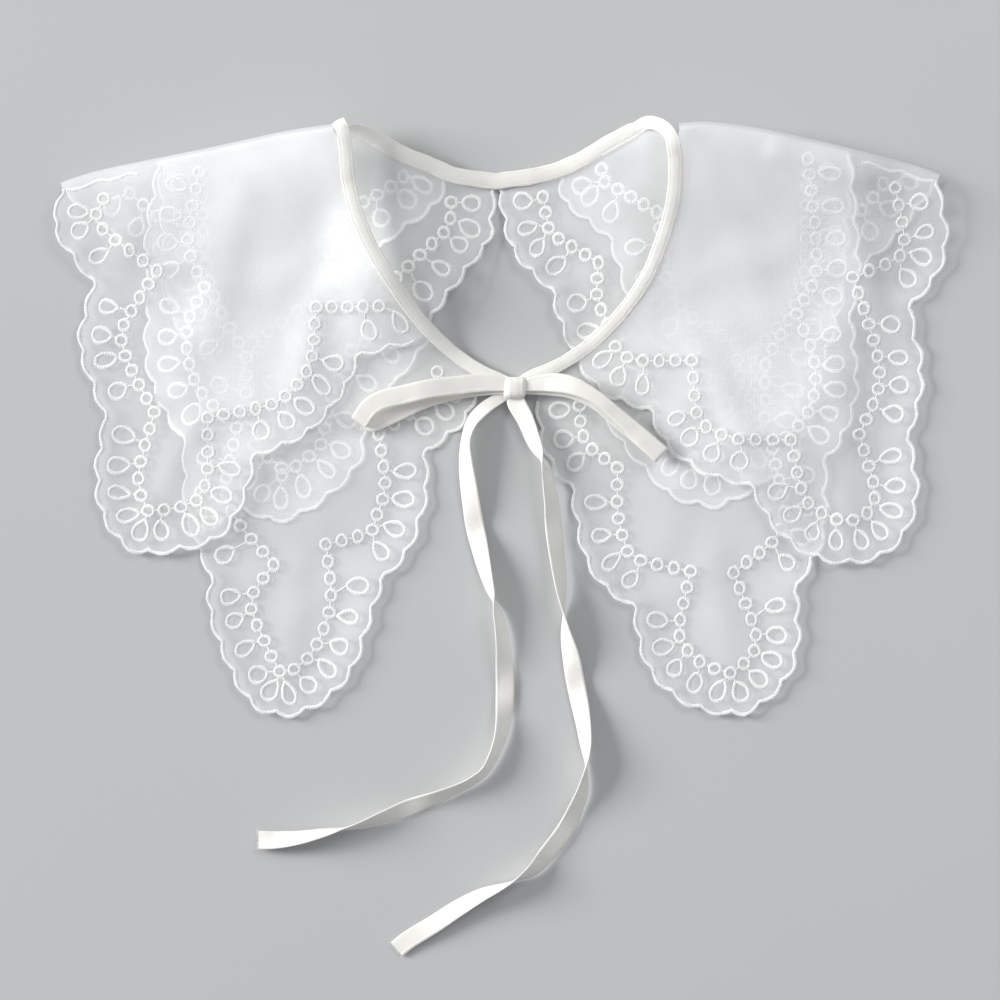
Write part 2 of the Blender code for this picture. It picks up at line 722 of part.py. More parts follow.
def make_tail(side, outlines):
    """One free end of the tape, which rolls over now and then on its way."""
    route = smooth_through(TAILS[side], TAPE_STEP)
    turn = np.radians(route[:, 2])
    half = route[:, 3] / 2
    level = left_normals(route[:, :2]) * (half * np.cos(turn))[:, None]
    halves = np.column_stack((level, half * np.sin(turn)))
    bed = bed_under_tape(route, halves, outlines, LAYERS)
    height = bed + half * np.abs(np.sin(turn)) + np.abs(np.cos(turn)) * WALL / 2
    points, faces = ribbon_surface(np.column_stack((route[:, :2], height)), halves)
    make_cloth("tie_tail_" + side, points, faces, WALL, SATIN_COLOUR, 0.45)


clear_scene()
OUTLINES = {}
FOLD_COUNTS = {}
for half in SIDES:
    for sheet in LAYERS:
        OUTLINES[half, sheet], FOLD_COUNTS[half, sheet] = panel_outline(half, sheet)
for half in SIDES:
    for pair in ("outer", "under"):
        make_tier(half, pair, OUTLINES, FOLD_COUNTS[half, pair + "_back"])
make_binding(OUTLINES)
make_knot()
for half in SIDES:
    make_loop(half, OUTLINES)
    make_tail(half, OUTLINES)
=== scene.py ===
"""The looks of a lace collar that lies flat on a pale table, seen from straight above.

Two scalloped tiers of embroidered organza lie on each side of a bound neck edge. Its tape is tied
in a bow at the front and ends in two free tails. Tables of places are in millimetres, x to the
right and y towards the shoulders, both from the seam in the middle of the back neck.
"""

import math
from collections import namedtuple

import bmesh
import bpy
import numpy as np
from mathutils.geometry import delaunay_2d_cdt
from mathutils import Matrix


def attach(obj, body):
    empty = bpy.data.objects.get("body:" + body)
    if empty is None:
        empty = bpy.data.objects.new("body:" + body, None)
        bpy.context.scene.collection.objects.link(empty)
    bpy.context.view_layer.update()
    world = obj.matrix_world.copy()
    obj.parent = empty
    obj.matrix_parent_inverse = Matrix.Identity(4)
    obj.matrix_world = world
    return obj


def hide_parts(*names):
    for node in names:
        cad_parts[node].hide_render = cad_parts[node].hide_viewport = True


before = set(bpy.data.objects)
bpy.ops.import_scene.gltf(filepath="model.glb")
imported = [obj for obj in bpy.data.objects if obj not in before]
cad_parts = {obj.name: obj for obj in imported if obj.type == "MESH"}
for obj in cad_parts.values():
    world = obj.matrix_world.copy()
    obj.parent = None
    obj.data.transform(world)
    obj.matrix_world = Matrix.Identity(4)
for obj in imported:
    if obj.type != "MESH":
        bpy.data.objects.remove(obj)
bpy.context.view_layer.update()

# Table, light and camera
# The collar lies on a smooth board, painted pale grey and matt. One broad soft light stands far
# to the upper left, low enough for long soft shadows, and the room gives an even light.

MILLIMETRE = 0.001
FOOTPRINT_MIDDLE = (2.35, -110.19)
VIEW_MIDDLE = (1.44, -149.8)
VIEW_WIDTH = 480.0
LENS = 200.0
SENSOR = 36.0


def linear(hex_colour, alpha=1.0):
    """A colour given in sRGB hex, as the linear values that a shader takes."""
    values = [int(hex_colour[place:place + 2], 16) / 255 for place in (1, 3, 5)]
    return (*(v / 12.92 if v <= 0.04045 else ((v + 0.055) / 1.055) ** 2.4 for v in values), alpha)


def world_point(x, y, z=0.0):
    """A place from the tables, in metres in the frame."""
    return ((x - FOOTPRINT_MIDDLE[0]) * MILLIMETRE, (y - FOOTPRINT_MIDDLE[1]) * MILLIMETRE, z * MILLIMETRE)


def add_node(material, kind, links=(), **settings):
    """Add a shader node. Settings name its options or inputs, and links are (input, node, output)."""
    node = material.node_tree.nodes.new(kind)
    for name, value in settings.items():
        if hasattr(node, name):
            setattr(node, name, value)
        else:
            node.inputs[name.replace("_", " ")].default_value = value
    for target, source, output in links:
        material.node_tree.links.new(source.outputs[output], node.inputs[target])
    return node


def new_material(name, colour, **settings):
    """A material with one Principled shader, and that shader."""
    material = bpy.data.materials.new(name)
    material.use_nodes = True
    shader = material.node_tree.nodes["Principled BSDF"]
    shader.inputs["Base Color"].default_value = linear(colour)
    for label, value in settings.items():
        shader.inputs[label.replace("_", " ")].default_value = value
    return material, shader


def table_paint():
    """Matt board paint: an even grey with a faint cloudiness and no shine."""
    material, shader = new_material("matt_board_paint", "#C5C6C7", Roughness=0.75, Specular_IOR_Level=0.25)
    place = add_node(material, "ShaderNodeTexCoord")
    cloud = add_node(material, "ShaderNodeTexNoise", [("Vector", place, "Object")], Scale=3.0, Detail=3.0)
    tint = add_node(material, "ShaderNodeMix", [("Factor", cloud, "Fac")], data_type="RGBA")
    tint.inputs["A"].default_value = linear("#C0C2C2")
    tint.inputs["B"].default_value = linear("#C5C6C7")
    material.node_tree.links.new(tint.outputs["Result"], shader.inputs["Base Color"])
    return material


bpy.ops.object.select_all(action="DESELECT")
bpy.ops.mesh.primitive_plane_add(size=6.0, location=(0.0, 0.0, -0.0004))
table = bpy.context.object
table.name = "table_top"
bpy.ops.object.transform_apply(location=True, rotation=True, scale=True)
table.data.materials.append(table_paint())


def add_light(name, place, aim, size, power, colour):
    """A square soft light at a place, turned to shine on a point."""
    light = bpy.data.lights.new(name, "AREA")
    light.size = size
    light.energy = power
    light.color = linear(colour)[:3]
    lamp = bpy.data.objects.new(name, light)
    bpy.context.scene.collection.objects.link(lamp)
    lamp.location = place
    away = np.array(place) - np.array(aim)
    lamp.rotation_euler = (math.acos(away[2] / np.linalg.norm(away)), 0.0, math.atan2(away[0], -away[1]))
    return lamp


add_light("window_light", (-7.4, 2.0, 3.1), (0.0, -0.02, 0.0), 3.2, 845.0, "#FFFFFF")
add_light("top_light", (1.5, 1.7, 2.1), (0.0, 0.0, 0.0), 1.4, 25.0, "#FFFFFF")

world = bpy.data.worlds.new("room")
world.use_nodes = True
world.node_tree.nodes["Background"].inputs["Color"].default_value = linear("#FBFCFF")
world.node_tree.nodes["Background"].inputs["Strength"].default_value = 0.36
bpy.context.scene.world = world
bpy.context.scene.view_settings.view_transform = "Standard"

view = bpy.data.cameras.new("camera")
view.lens = LENS
view.sensor_width = SENSOR
view.clip_end = 20.0
camera = bpy.data.objects.new("camera", view)
bpy.context.scene.collection.objects.link(camera)
distance = VIEW_WIDTH * LENS / SENSOR
camera.location = world_point(*VIEW_MIDDLE, distance)
bpy.context.scene.camera = camera


# Tie ends
# The neck binding runs on past the bow in two free ends of the same satin tape, about 9 mm wide,
# folded along its length and stitched. Each rolls over a few times and ends in a straight cut.

TapeRow = namedtuple("TapeRow", "x y turn width", defaults=(9.0,))

# The turn is the tape's roll in degrees: flat at 0, on its edge at 90, other side up at 180.
TAILS = {
    "left": (
        TapeRow(5.6, -98.6, 0, 5.2),
        TapeRow(2.2, -100.4, 0, 5.5),
        TapeRow(-5.2, -105.2, 15, 6.5),
        TapeRow(-11.8, -112.0, 48, 8.2),
        TapeRow(-15, -121, 62),
        TapeRow(-15, -131.5, 45),
        TapeRow(-13.8, -141.6, 28),
        TapeRow(-12.3, -152, 18),
        TapeRow(-10.5, -162.7, 5),
        TapeRow(-8.2, -173, 25),
        TapeRow(-5.8, -183.4, 45),
        TapeRow(-2.9, -194, 68),
        TapeRow(-1.6, -198.5, 90),
        TapeRow(0.4, -204.5, 117),
        TapeRow(2.4, -214.6, 135),
        TapeRow(3.3, -225, 150),
        TapeRow(3.9, -240.7, 175),
        TapeRow(3, -256.3, 145),
        TapeRow(0.5, -267, 128),
        TapeRow(-4.8, -278.4, 118),
        TapeRow(-11.5, -284.2, 118),
        TapeRow(-18.7, -288, 120),
        TapeRow(-30.3, -292.8, 135),
        TapeRow(-41.9, -297.1, 155),
        TapeRow(-53.6, -301.5, 135),
        TapeRow(-65.3, -305.4, 110),
        TapeRow(-74, -307.3, 90),
        TapeRow(-82.6, -309.1, 67),
        TapeRow(-94.3, -311.5, 47),
        TapeRow(-106, -312.8, 22),
        TapeRow(-114.3, -313, 5),
    ),
    "right": (
        TapeRow(8.3, -99.4, 5, 7.6),
        TapeRow(9.3, -103.4, 10),
        TapeRow(13.6, -111.4, 25),
        TapeRow(17.3, -121, 40),
        TapeRow(19.7, -126.7, 60),
        TapeRow(21.6, -131.5, 90),
        TapeRow(24.7, -141.6, 130),
        TapeRow(26.2, -152, 143),
        TapeRow(27.1, -162.7, 155),
        TapeRow(28.3, -173, 150),
        TapeRow(29.7, -183.4, 140),
        TapeRow(30.9, -194, 121),
        TapeRow(31.9, -204.2, 90),
        TapeRow(33.2, -214.6, 56),
        TapeRow(35.5, -225, 24),
        TapeRow(37.4, -235.5, 5),
        TapeRow(39.4, -245.8, 15),
        TapeRow(41.3, -256.3, 35),
        TapeRow(42.5, -267, 55),
        TapeRow(42.7, -277, 90),
        TapeRow(41.3, -288, 125),
        TapeRow(38.4, -296.2, 142),
        TapeRow(32.8, -307.7, 160),
        TapeRow(24.1, -319.2, 155),
        TapeRow(16.8, -327.4, 130),
        TapeRow(6.9, -333.1, 90),
        TapeRow(-7, -338.9, 50),
        TapeRow(-18.7, -345.6, 27),
        TapeRow(-30.3, -353.3, 15),
        TapeRow(-41.9, -360.5, 5),
        TapeRow(-48, -365.4, 0),
    ),
}
TAPE_THICKNESS = 1.0
TAPE_STEP = 1.6
CURVE_PARTS = 12

# The cloth's layers at rest, from the table upwards, and the tiers' cut, as in the solids
WALL = 1.0
PITCH = 1.4
DRAPE_REACH = 30.0
TAPE_GAP = 0.05
Shoulder = namedtuple("Shoulder", "neck_rise hem_rise neck_reach hem_reach")
SHOULDERS = {
    "front": Shoulder(18.0, 5.0, 105.0, 50.0),
    "back": Shoulder(11.0, 1.0, 62.0, 24.0),
}
LAYERS = ("outer_back", "under_back", "under_front", "outer_front")
SIDES = ("left", "right")
HEM_SIGN = {"left": 1.0, "right": -1.0}

# The row of embroidered rings runs at an inset inside the hem, deeper at a notch.
RING_INSET = 20.5
Row = namedtuple("Row", "kind left_x left_y right_x right_y inset", defaults=(RING_INSET,))
Swell = namedtuple("Swell", "x y reach_x reach_y height")
HEMS = {
    "outer_front": (
        Row("start", -36, -73, 38, -83),
        Row("belly", -50, -77, 52, -99),
        Row("notch", -66, -81, 74, -107, 31),
        Row("belly", -72, -96, 80, -122),
        Row("belly", -87, -115, 94, -134),
        Row("belly", -100, -123, 108, -140),
        Row("notch", -116, -129, 122, -143, 29),
        Row("belly", -120, -147, 131, -160),
        Row("belly", -132, -167, 146, -174),
        Row("belly", -153, -174, 164, -180),
        Row("belly", -175, -174, 184, -177),
        Row("belly", -189, -157, 197, -164),
        Row("belly", -192, -135, 202, -145),
        Row("notch", -188, -109, 198, -119, 24),
        Row("belly", -194, -95, 203, -102),
        Row("belly", -200, -77, 204, -84),
        Row("belly", -198, -60, 200, -66),
        Row("notch", -193, -46, 199, -56, 31),
        Row("belly", -203, -34, 210, -44),
        Row("belly", -212, -18, 216, -25),
        Row("fold", -208, -1, 211, 3),
    ),
    "under_front": (
        Row("start", -9, -95, 19, -99),
        Row("belly", -14, -110, 21, -121),
        Row("belly", -23, -119, 28, -136),
        Row("notch", -34, -127, 36, -144, 24),
        Row("belly", -33, -145, 38, -159),
        Row("belly", -38, -164, 43, -179),
        Row("belly", -44, -177, 53, -193),
        Row("notch", -54, -187, 66, -201, 32),
        Row("belly", -60, -205, 68, -217),
        Row("belly", -68, -229, 75, -234),
        Row("belly", -80, -244, 90, -247),
        Row("belly", -98, -253, 106, -252),
        Row("belly", -117, -248, 122, -251),
        Row("belly", -130, -226, 139, -236),
        Row("belly", -138, -202, 145, -217),
        Row("notch", -137, -188, 144, -192, 31),
        Row("belly", -149, -155, 157, -167),
        Row("notch", -150, -121, 158, -130, 26),
        Row("belly", -160, -107, 166, -120),
        Row("belly", -168, -85, 173, -99),
        Row("belly", -168, -63, 172, -78),
        Row("notch", -166, -48, 170, -62, 26),
        Row("belly", -168, -25, 174, -37),
        Row("fold", -162, 10, 169, 15),
    ),
    "under_back": (
        Row("start", -1, -1, 1, -1),
        Row("belly", -3, -24, 5, -23),
        Row("belly", -12, -37, 12, -36),
        Row("notch", -31, -62, 27, -50, 26),
        Row("belly", -33, -74, 31, -66),
        Row("notch", -49, -94, 51, -109, 26),
        Row("belly", -61, -110, 61, -124),
        Row("belly", -65, -130, 71, -135),
        Row("belly", -76, -144, 84, -148),
        Row("belly", -93, -156, 103, -153),
        Row("belly", -107, -160, 114, -150),
        Row("notch", -124, -153, 126, -143, 28),
        Row("belly", -138, -125, 145, -126),
        Row("notch", -145, -88, 154, -92, 26),
        Row("belly", -158, -48, 167, -48),
        Row("fold", -162, 10, 169, 15),
    ),
    "outer_back": (
        Row("start", -24, 4, 30, 5),
        Row("belly", -29, -8, 32, -6),
        Row("belly", -43, -19, 42, -15),
        Row("notch", -55, -28, 54, -24, 26),
        Row("belly", -70, -62, 68, -64),
        Row("notch", -95, -88, 93, -90, 26),
        Row("belly", -102, -111, 103, -114),
        Row("belly", -121, -127, 124, -126),
        Row("belly", -139, -116, 143, -114),
        Row("notch", -143, -91, 146, -87, 24),
        Row("belly", -153, -68, 159, -68),
        Row("notch", -162, -42, 168, -44, 24),
        Row("belly", -185, -22, 191, -24),
        Row("fold", -208, -1, 211, 3),
    ),
}
SHOULDER_FOLD = (
    Row("fold", -81, 25.5, 90, 26.5),
    Row("fold", -99, 23, 102, 27),
    Row("fold", -123, 18, 126, 24),
    Row("fold", -147, 13, 155, 18),
    Row("fold", -188, 5, 196, 8),
    Row("fold", -208, -1, 211, 3),
)

# The binding's middle line, first from the bow up to the shoulder and then on to the back seam
NECK_FRONT = (
    Row("bow", 1, -92, 16, -91),
    Row("neck", -13, -85, 30, -85),
    Row("neck", -27, -74, 45, -75),
    Row("neck", -39, -61, 59, -61),
    Row("neck", -51, -44, 71, -44),
    Row("neck", -60, -29, 79, -25),
    Row("neck", -67, -13, 84, -6),
    Row("neck", -71, 4, 85, 11),
    Row("shoulder", -72, 18, 84, 19),
)
NECK_BACK = (
    Row("shoulder", -67, 27, 65, 27),
    Row("neck", -58, 23, 52, 20),
    Row("neck", -46, 16, 40, 13),
    Row("neck", -33, 11, 28, 8),
    Row("neck", -21, 6, 15, 5),
    Row("neck", -9, 4, 6, 4),
    Row("seam", 0, 3, 0, 3),
)
LOOP_TOP = ((72.0, 30.5), (78.0, 29.0), (82.5, 24.5))
BINDING_FRONT_WIDTH = 6.6
BINDING_BACK_WIDTH = 8.0
SEAM_GAP = 0.35
NECK_STEP = 5.0
SCALLOP_CHORD = 15.5
SCALLOP_DEPTH = 2.4
COARSE_SCALLOP = 4
COARSE_FOLD_STEP = 8.0
SWELLS = (
    Swell(-30, 14, 34, 22, 3.5),
    Swell(44, 14, 26, 18, 1.5),
    Swell(112, -50, 40, 34, 1.8),
    Swell(-44, -38, 46, 54, 10.0),
)

# Soft ridges that the cloth keeps from how it was folded away, and the ripple all over it
Ridge = namedtuple("Ridge", "start_x start_y end_x end_y width height")
RIDGES = (
    Ridge(133, 16, 176, 3, 4, 1.2),
    Ridge(-123, -6, -138, -70, 10, 1.2),
    Ridge(-147, -116, -167, -159, 7, 0.9),
    Ridge(165, -92, 169, -159, 8, 0.9),
    Ridge(-95, -186, -99, -238, 8, 0.8),
    Ridge(105, -178, 112, -238, 8, 0.8),
    Ridge(92, -70, 118, -118, 9, 1.1),
    Ridge(-84, -50, -96, -104, 9, 0.9),
    Ridge(168, -20, 190, -70, 7, 1.0),
    Ridge(-176, -20, -186, -72, 7, 1.0),
)
RIPPLE = 0.7
RIPPLE_REACH = 8.5


def side_points(rows, side):
    """The left or the right places of a table's rows."""
    if side == "left":
        return np.array([(row.left_x, row.left_y) for row in rows], dtype=float)
    return np.array([(row.right_x, row.right_y) for row in rows], dtype=float)


def length_of(line):
    """The length along a line of points, seen from above."""
    return float(np.linalg.norm(np.diff(line[:, :2], axis=0), axis=1).sum())


def resample(line, count):
    """The same line with count steps along it, equal when seen from above."""
    steps = np.linalg.norm(np.diff(line[:, :2], axis=0), axis=1)
    along = np.concatenate(([0.0], np.cumsum(steps)))
    wanted = np.linspace(0.0, along[-1], count + 1)
    return np.column_stack([np.interp(wanted, along, line[:, axis]) for axis in range(line.shape[1])])


def smooth_through(points, step):
    """A smooth curve through the points, with a point about every step."""
    points = np.asarray(points, dtype=float)
    ends = np.vstack((2 * points[0] - points[1], points, 2 * points[-1] - points[-2]))
    fine = []
    for before, start, end, after in zip(ends, ends[1:], ends[2:], ends[3:]):
        for part in np.linspace(0.0, 1.0, CURVE_PARTS, endpoint=False):
            fine.append(0.5 * (2 * start + (end - before) * part
                               + (2 * before - 5 * start + 4 * end - after) * part ** 2
                               + (3 * start - before - 3 * end + after) * part ** 3))
    fine.append(points[-1])
    fine = np.array(fine)
    return resample(fine, max(1, round(length_of(fine) / step)))


def left_normals(line):
    """Unit vectors to the left of a line seen from above, at each of its points."""
    along = np.gradient(line[:, :2], axis=0)
    along /= np.linalg.norm(along, axis=1)[:, None]
    return np.column_stack((-along[:, 1], along[:, 0]))


def hem_lobes(layer, side):
    """The smooth line of each lobe of a hem, from notch to notch, with its whole number of scallops."""
    rows = HEMS[layer]
    points = side_points(rows, side)
    notches = [0] + [index for index, row in enumerate(rows) if row.kind == "notch"] + [len(rows) - 1]
    for first, last in zip(notches, notches[1:]):
        lobe = smooth_through(points[first:last + 1], 1.0)
        yield lobe, max(1, round(length_of(lobe) / SCALLOP_CHORD))


def scalloped_hem(layer, side, detail):
    """A hem with its scallops, each with that many steps."""
    hem = []
    for lobe, scallops in hem_lobes(layer, side):
        lobe = resample(lobe, scallops * detail)
        phase = np.arange(len(lobe)) / detail
        bulge = HEM_SIGN[side] * SCALLOP_DEPTH * (np.abs(np.sin(math.pi * phase)) - 0.5)
        bulged = lobe + bulge[:, None] * left_normals(lobe)
        bulged[0] = lobe[0]
        bulged[-1] = lobe[-1]
        hem.extend(bulged[1:] if hem else bulged)
    return np.array(hem)


def cut_at(line, place):
    """The line up to its point nearest to the place."""
    nearest = int(np.argmin(np.linalg.norm(line - place, axis=1)))
    return line[:nearest + 1]


def neck_edge(side, face, seam_gap):
    """Where the cloth meets the binding, from the shoulder fold towards the bow or back seam."""
    if face == "front":
        middle = smooth_through(side_points(NECK_FRONT, side), 2.0)[::-1]
        half = BINDING_FRONT_WIDTH / 2
    else:
        middle = smooth_through(side_points(NECK_BACK, side), 2.0)
        if side == "right":
            middle = np.vstack((LOOP_TOP[1], LOOP_TOP[0], middle))
        half = BINDING_BACK_WIDTH / 2
    return middle - HEM_SIGN[side] * (half + seam_gap) * left_normals(middle)


def panel_outline(side, layer, detail, fold_step, neck_step, tuck=0.0):
    """One layer's closed outline, which starts along the shoulder fold, and its fold's points.

    The tuck is how far the cloth runs on under the binding's edge."""
    face = layer.split("_")[1]
    hem = scalloped_hem(layer, side, detail)
    fold = side_points(SHOULDER_FOLD, side)
    if tuck:
        fold[0] += (fold[0] - fold[1]) / np.linalg.norm(fold[0] - fold[1]) * tuck * 1.6
    fold = smooth_through(fold, 1.0)
    fold = cut_at(fold, hem[-1])
    fold = resample(fold, round(length_of(fold) / fold_step))
    neck = cut_at(neck_edge(side, face, SEAM_GAP - tuck), hem[0])
    neck = resample(neck, max(1, round(length_of(neck) / neck_step)))
    return np.vstack((fold[::-1], neck, hem[1:-1])), len(fold)


BED_OUTLINES = {(side, layer): panel_outline(side, layer, COARSE_SCALLOP, COARSE_FOLD_STEP, NECK_STEP)[0]
                for side in SIDES for layer in LAYERS}


def place_in_outline(points, outline):
    """Whether each point lies inside a closed outline, and how far it lies from its edge."""
    inside = np.zeros(len(points), bool)
    away = np.full(len(points), np.inf)
    for start, end in zip(outline, np.roll(outline, -1, axis=0)):
        edge = end - start
        square = edge @ edge
        to_point = points - start
        if square > 0.0:
            part = np.clip(to_point @ edge / square, 0.0, 1.0)
            away = np.minimum(away, np.hypot(*(to_point - part[:, None] * edge).T))
        if edge[1] != 0.0:
            crosses = (start[1] > points[:, 1]) != (end[1] > points[:, 1])
            inside ^= crosses & (points[:, 0] < start[0] + to_point[:, 1] * edge[0] / edge[1])
    return inside, away


def swell_height(points):
    """The height of the soft swells that lift every layer together."""
    height = np.zeros(len(points))
    for swell in SWELLS:
        away = (points - (swell.x, swell.y)) / (swell.reach_x, swell.reach_y)
        square = (away ** 2).sum(axis=1)
        height += swell.height * np.where(square < 1.0, (1.0 - square) ** 2, 0.0)
    for ridge in RIDGES:
        start = np.array((ridge.start_x, ridge.start_y))
        run = np.array((ridge.end_x, ridge.end_y)) - start
        part = (points - start) @ run / (run @ run)
        across = np.linalg.norm(points - start - np.clip(part, 0.0, 1.0)[:, None] * run, axis=1)
        height += ridge.height * np.exp(-(across / ridge.width) ** 2)
    wave_x, wave_y = points[:, 0] / RIPPLE_REACH, points[:, 1] / RIPPLE_REACH
    ripple = np.sin(wave_x + 1.3 * np.sin(wave_y * 0.7)) * np.sin(wave_y * 1.2 + 0.8 * np.sin(wave_x * 0.9))
    height += RIPPLE * (1.0 + ripple) / 2
    return height


def shoulder_height(points, face):
    """How much the shoulder folds hold the front or the back layers up, most at the crease."""
    shoulder = SHOULDERS[face]
    height = np.zeros(len(points))
    for side in SIDES:
        fold = smooth_through(side_points(SHOULDER_FOLD, side), 4.0)
        away = np.linalg.norm(points[:, None, :] - fold[None, :, :], axis=2).min(axis=1)
        run = fold[-1] - fold[0]
        along = np.clip((points - fold[0]) @ run / (run @ run), 0.0, 1.0)
        rise = shoulder.neck_rise + (shoulder.hem_rise - shoulder.neck_rise) * along
        reach = shoulder.neck_reach + (shoulder.hem_reach - shoulder.neck_reach) * along
        part = np.clip(1.0 - away / reach, 0.0, 1.0)
        height += rise * part * part * (3.0 - 2.0 * part)
    return height


def bed_height(points, layers):
    """The height that the named layers under a sheet bring it to, draped down past their hems."""
    height = swell_height(points)
    for layer in layers:
        for side in SIDES:
            inside, away = place_in_outline(points, BED_OUTLINES[side, layer])
            part = np.where(inside, 0.0, np.clip(away / DRAPE_REACH, 0.0, 1.0))
            height += PITCH * 0.5 * (1.0 + np.cos(math.pi * part))
    return height


def bed_under_tape(line, halves, layers):
    """The highest that the layers reach under a tape's two edges and its middle."""
    spots = [line[:, :2] + part * halves[:, :2] for part in (-1.0, -0.5, 0.0, 0.5, 1.0)]
    return np.max([bed_height(spot, layers) + shoulder_height(spot, "front") for spot in spots],
                  axis=0) + TAPE_GAP


def sweep(middles, across, upward, section, closed=False):
    """A section carried along a line: points, faces and each face's places along and round it."""
    count, around = len(middles), len(section)
    points = np.concatenate([middle + section[:, :1] * side + section[:, 1:] * up
                             for middle, side, up in zip(middles, across, upward)])
    steps = np.linalg.norm(np.diff(middles, axis=0), axis=1)
    along = np.concatenate(([0.0], np.cumsum(steps)))
    if closed:
        along = np.append(along, along[-1] + np.linalg.norm(middles[0] - middles[-1]))
    faces, places = [], []
    for ring in range(count if closed else count - 1):
        following = (ring + 1) % count
        for corner in range(around):
            turned = (corner + 1) % around
            faces.append((ring * around + corner, ring * around + turned,
                          following * around + turned, following * around + corner))
            low, high = corner / around, (corner + 1) / around
            places.append(((along[ring], low), (along[ring], high),
                           (along[ring + 1], high), (along[ring + 1], low)))
    if not closed:
        for ring, order in ((0, reversed(range(around))), (count - 1, range(around))):
            faces.append(tuple(ring * around + corner for corner in order))
            places.append(tuple((along[ring], 0.0) for corner in range(around)))
    return points, faces, places


def join_parts(parts):
    """Several swept shapes as one list of points, faces and places."""
    points, faces, places, offset = [], [], [], 0
    for part_points, part_faces, part_places in parts:
        points.append(part_points)
        faces.extend(tuple(corner + offset for corner in face) for face in part_faces)
        places.extend(part_places)
        offset += len(part_points)
    return np.concatenate(points), faces, places


def add_piece(name, points, faces, places=None, material=None, smooth_angle=60.0):
    """A mesh object from points in millimetres, with faces turned outwards and its places as UVs."""
    mesh = bpy.data.meshes.new(name)
    middle = np.array((*FOOTPRINT_MIDDLE, 0.0))
    mesh.from_pydata(((np.asarray(points) - middle) * MILLIMETRE).tolist(), [], faces)
    if places is not None:
        layer = mesh.uv_layers.new(name="along_and_round")
        layer.data.foreach_set("uv", [value for face in places for place in face for value in place])
    work = bmesh.new()
    work.from_mesh(mesh)
    bmesh.ops.recalc_face_normals(work, faces=work.faces)
    work.to_mesh(mesh)
    work.free()
    mesh.shade_smooth()
    mesh.set_sharp_from_angle(angle=math.radians(smooth_angle))
    piece = bpy.data.objects.new(name, mesh)
    bpy.context.scene.collection.objects.link(piece)
    if material:
        mesh.materials.append(material)
    return piece


def tape_section(thickness):
    """The folded tape's section, in half-widths: full on the folds, with a dip along its seam."""
    across = (1.0, 0.95, 0.8, 0.66, 0.6, 0.54, 0.3, -0.1, -0.5, -0.8, -0.95, -1.0)
    rise = (0.0, 0.66, 0.93, 0.95, 0.84, 0.9, 0.95, 0.95, 0.95, 0.93, 0.66, 0.0)
    upper = [(place, height * thickness / 2) for place, height in zip(across, rise)]
    lower = [(place, -height) for place, height in upper[-2:0:-1]]
    return np.array(upper + lower)


def satin_tape():
    """Polyester satin bias tape: ivory white, a soft broad sheen, fine diagonal threads."""
    material, shader = new_material("polyester_satin_bias", "#EFEDE7", Roughness=0.5, Sheen_Weight=0.25,
                                    Sheen_Roughness=0.35, Specular_IOR_Level=0.3)
    place = add_node(material, "ShaderNodeTexCoord")
    slant = add_node(material, "ShaderNodeMapping", [("Vector", place, "Object")])
    slant.inputs["Rotation"].default_value = (0.0, 0.0, math.radians(45.0))
    threads = add_node(material, "ShaderNodeTexWave", [("Vector", slant, "Vector")], Scale=THREADS_PER_METRE,
                       Distortion=1.0, Detail=2.0)
    cloud = add_node(material, "ShaderNodeTexNoise", [("Vector", place, "Object")], Scale=180.0, Detail=4.0)
    tint = add_node(material, "ShaderNodeMix", [("Factor", cloud, "Fac")], data_type="RGBA")
    tint.inputs["A"].default_value = linear("#EEECE6")
    tint.inputs["B"].default_value = linear("#F6F5F0")
    both = add_node(material, "ShaderNodeMath", [(0, threads, "Fac"), (1, cloud, "Fac")], operation="ADD")
    fine = add_node(material, "ShaderNodeBump", [("Height", both, "Value")], Strength=0.3, Distance=0.0003)

    # Soft creases run along the tape, from tying and handling.
    lengthwise = add_node(material, "ShaderNodeUVMap", uv_map="along_and_round")
    drawn = add_node(material, "ShaderNodeMapping", [("Vector", lengthwise, "UV")])
    drawn.inputs["Scale"].default_value = (0.03, 0.62, 1.0)
    creases = add_node(material, "ShaderNodeTexNoise", [("Vector", drawn, "Vector")], Scale=1.0, Detail=4.0)
    relief = add_node(material, "ShaderNodeBump", [("Height", creases, "Fac"), ("Normal", fine, "Normal")],
                      Strength=0.7, Distance=0.003)
    material.node_tree.links.new(tint.outputs["Result"], shader.inputs["Base Color"])
    material.node_tree.links.new(relief.outputs["Normal"], shader.inputs["Normal"])
    return material


# The real threads lie 0.15 mm apart, which is too fine to show, so they are drawn 0.6 mm apart.
THREADS_PER_METRE = 1.0 / (0.0006 * 3.3)
SATIN = satin_tape()
FRAYED_THREADS = 14
FRAY_SECTION = np.array(((0.12, 0.0), (0.0, 0.12), (-0.12, 0.0), (0.0, -0.12)))
fray = np.random.default_rng(3)

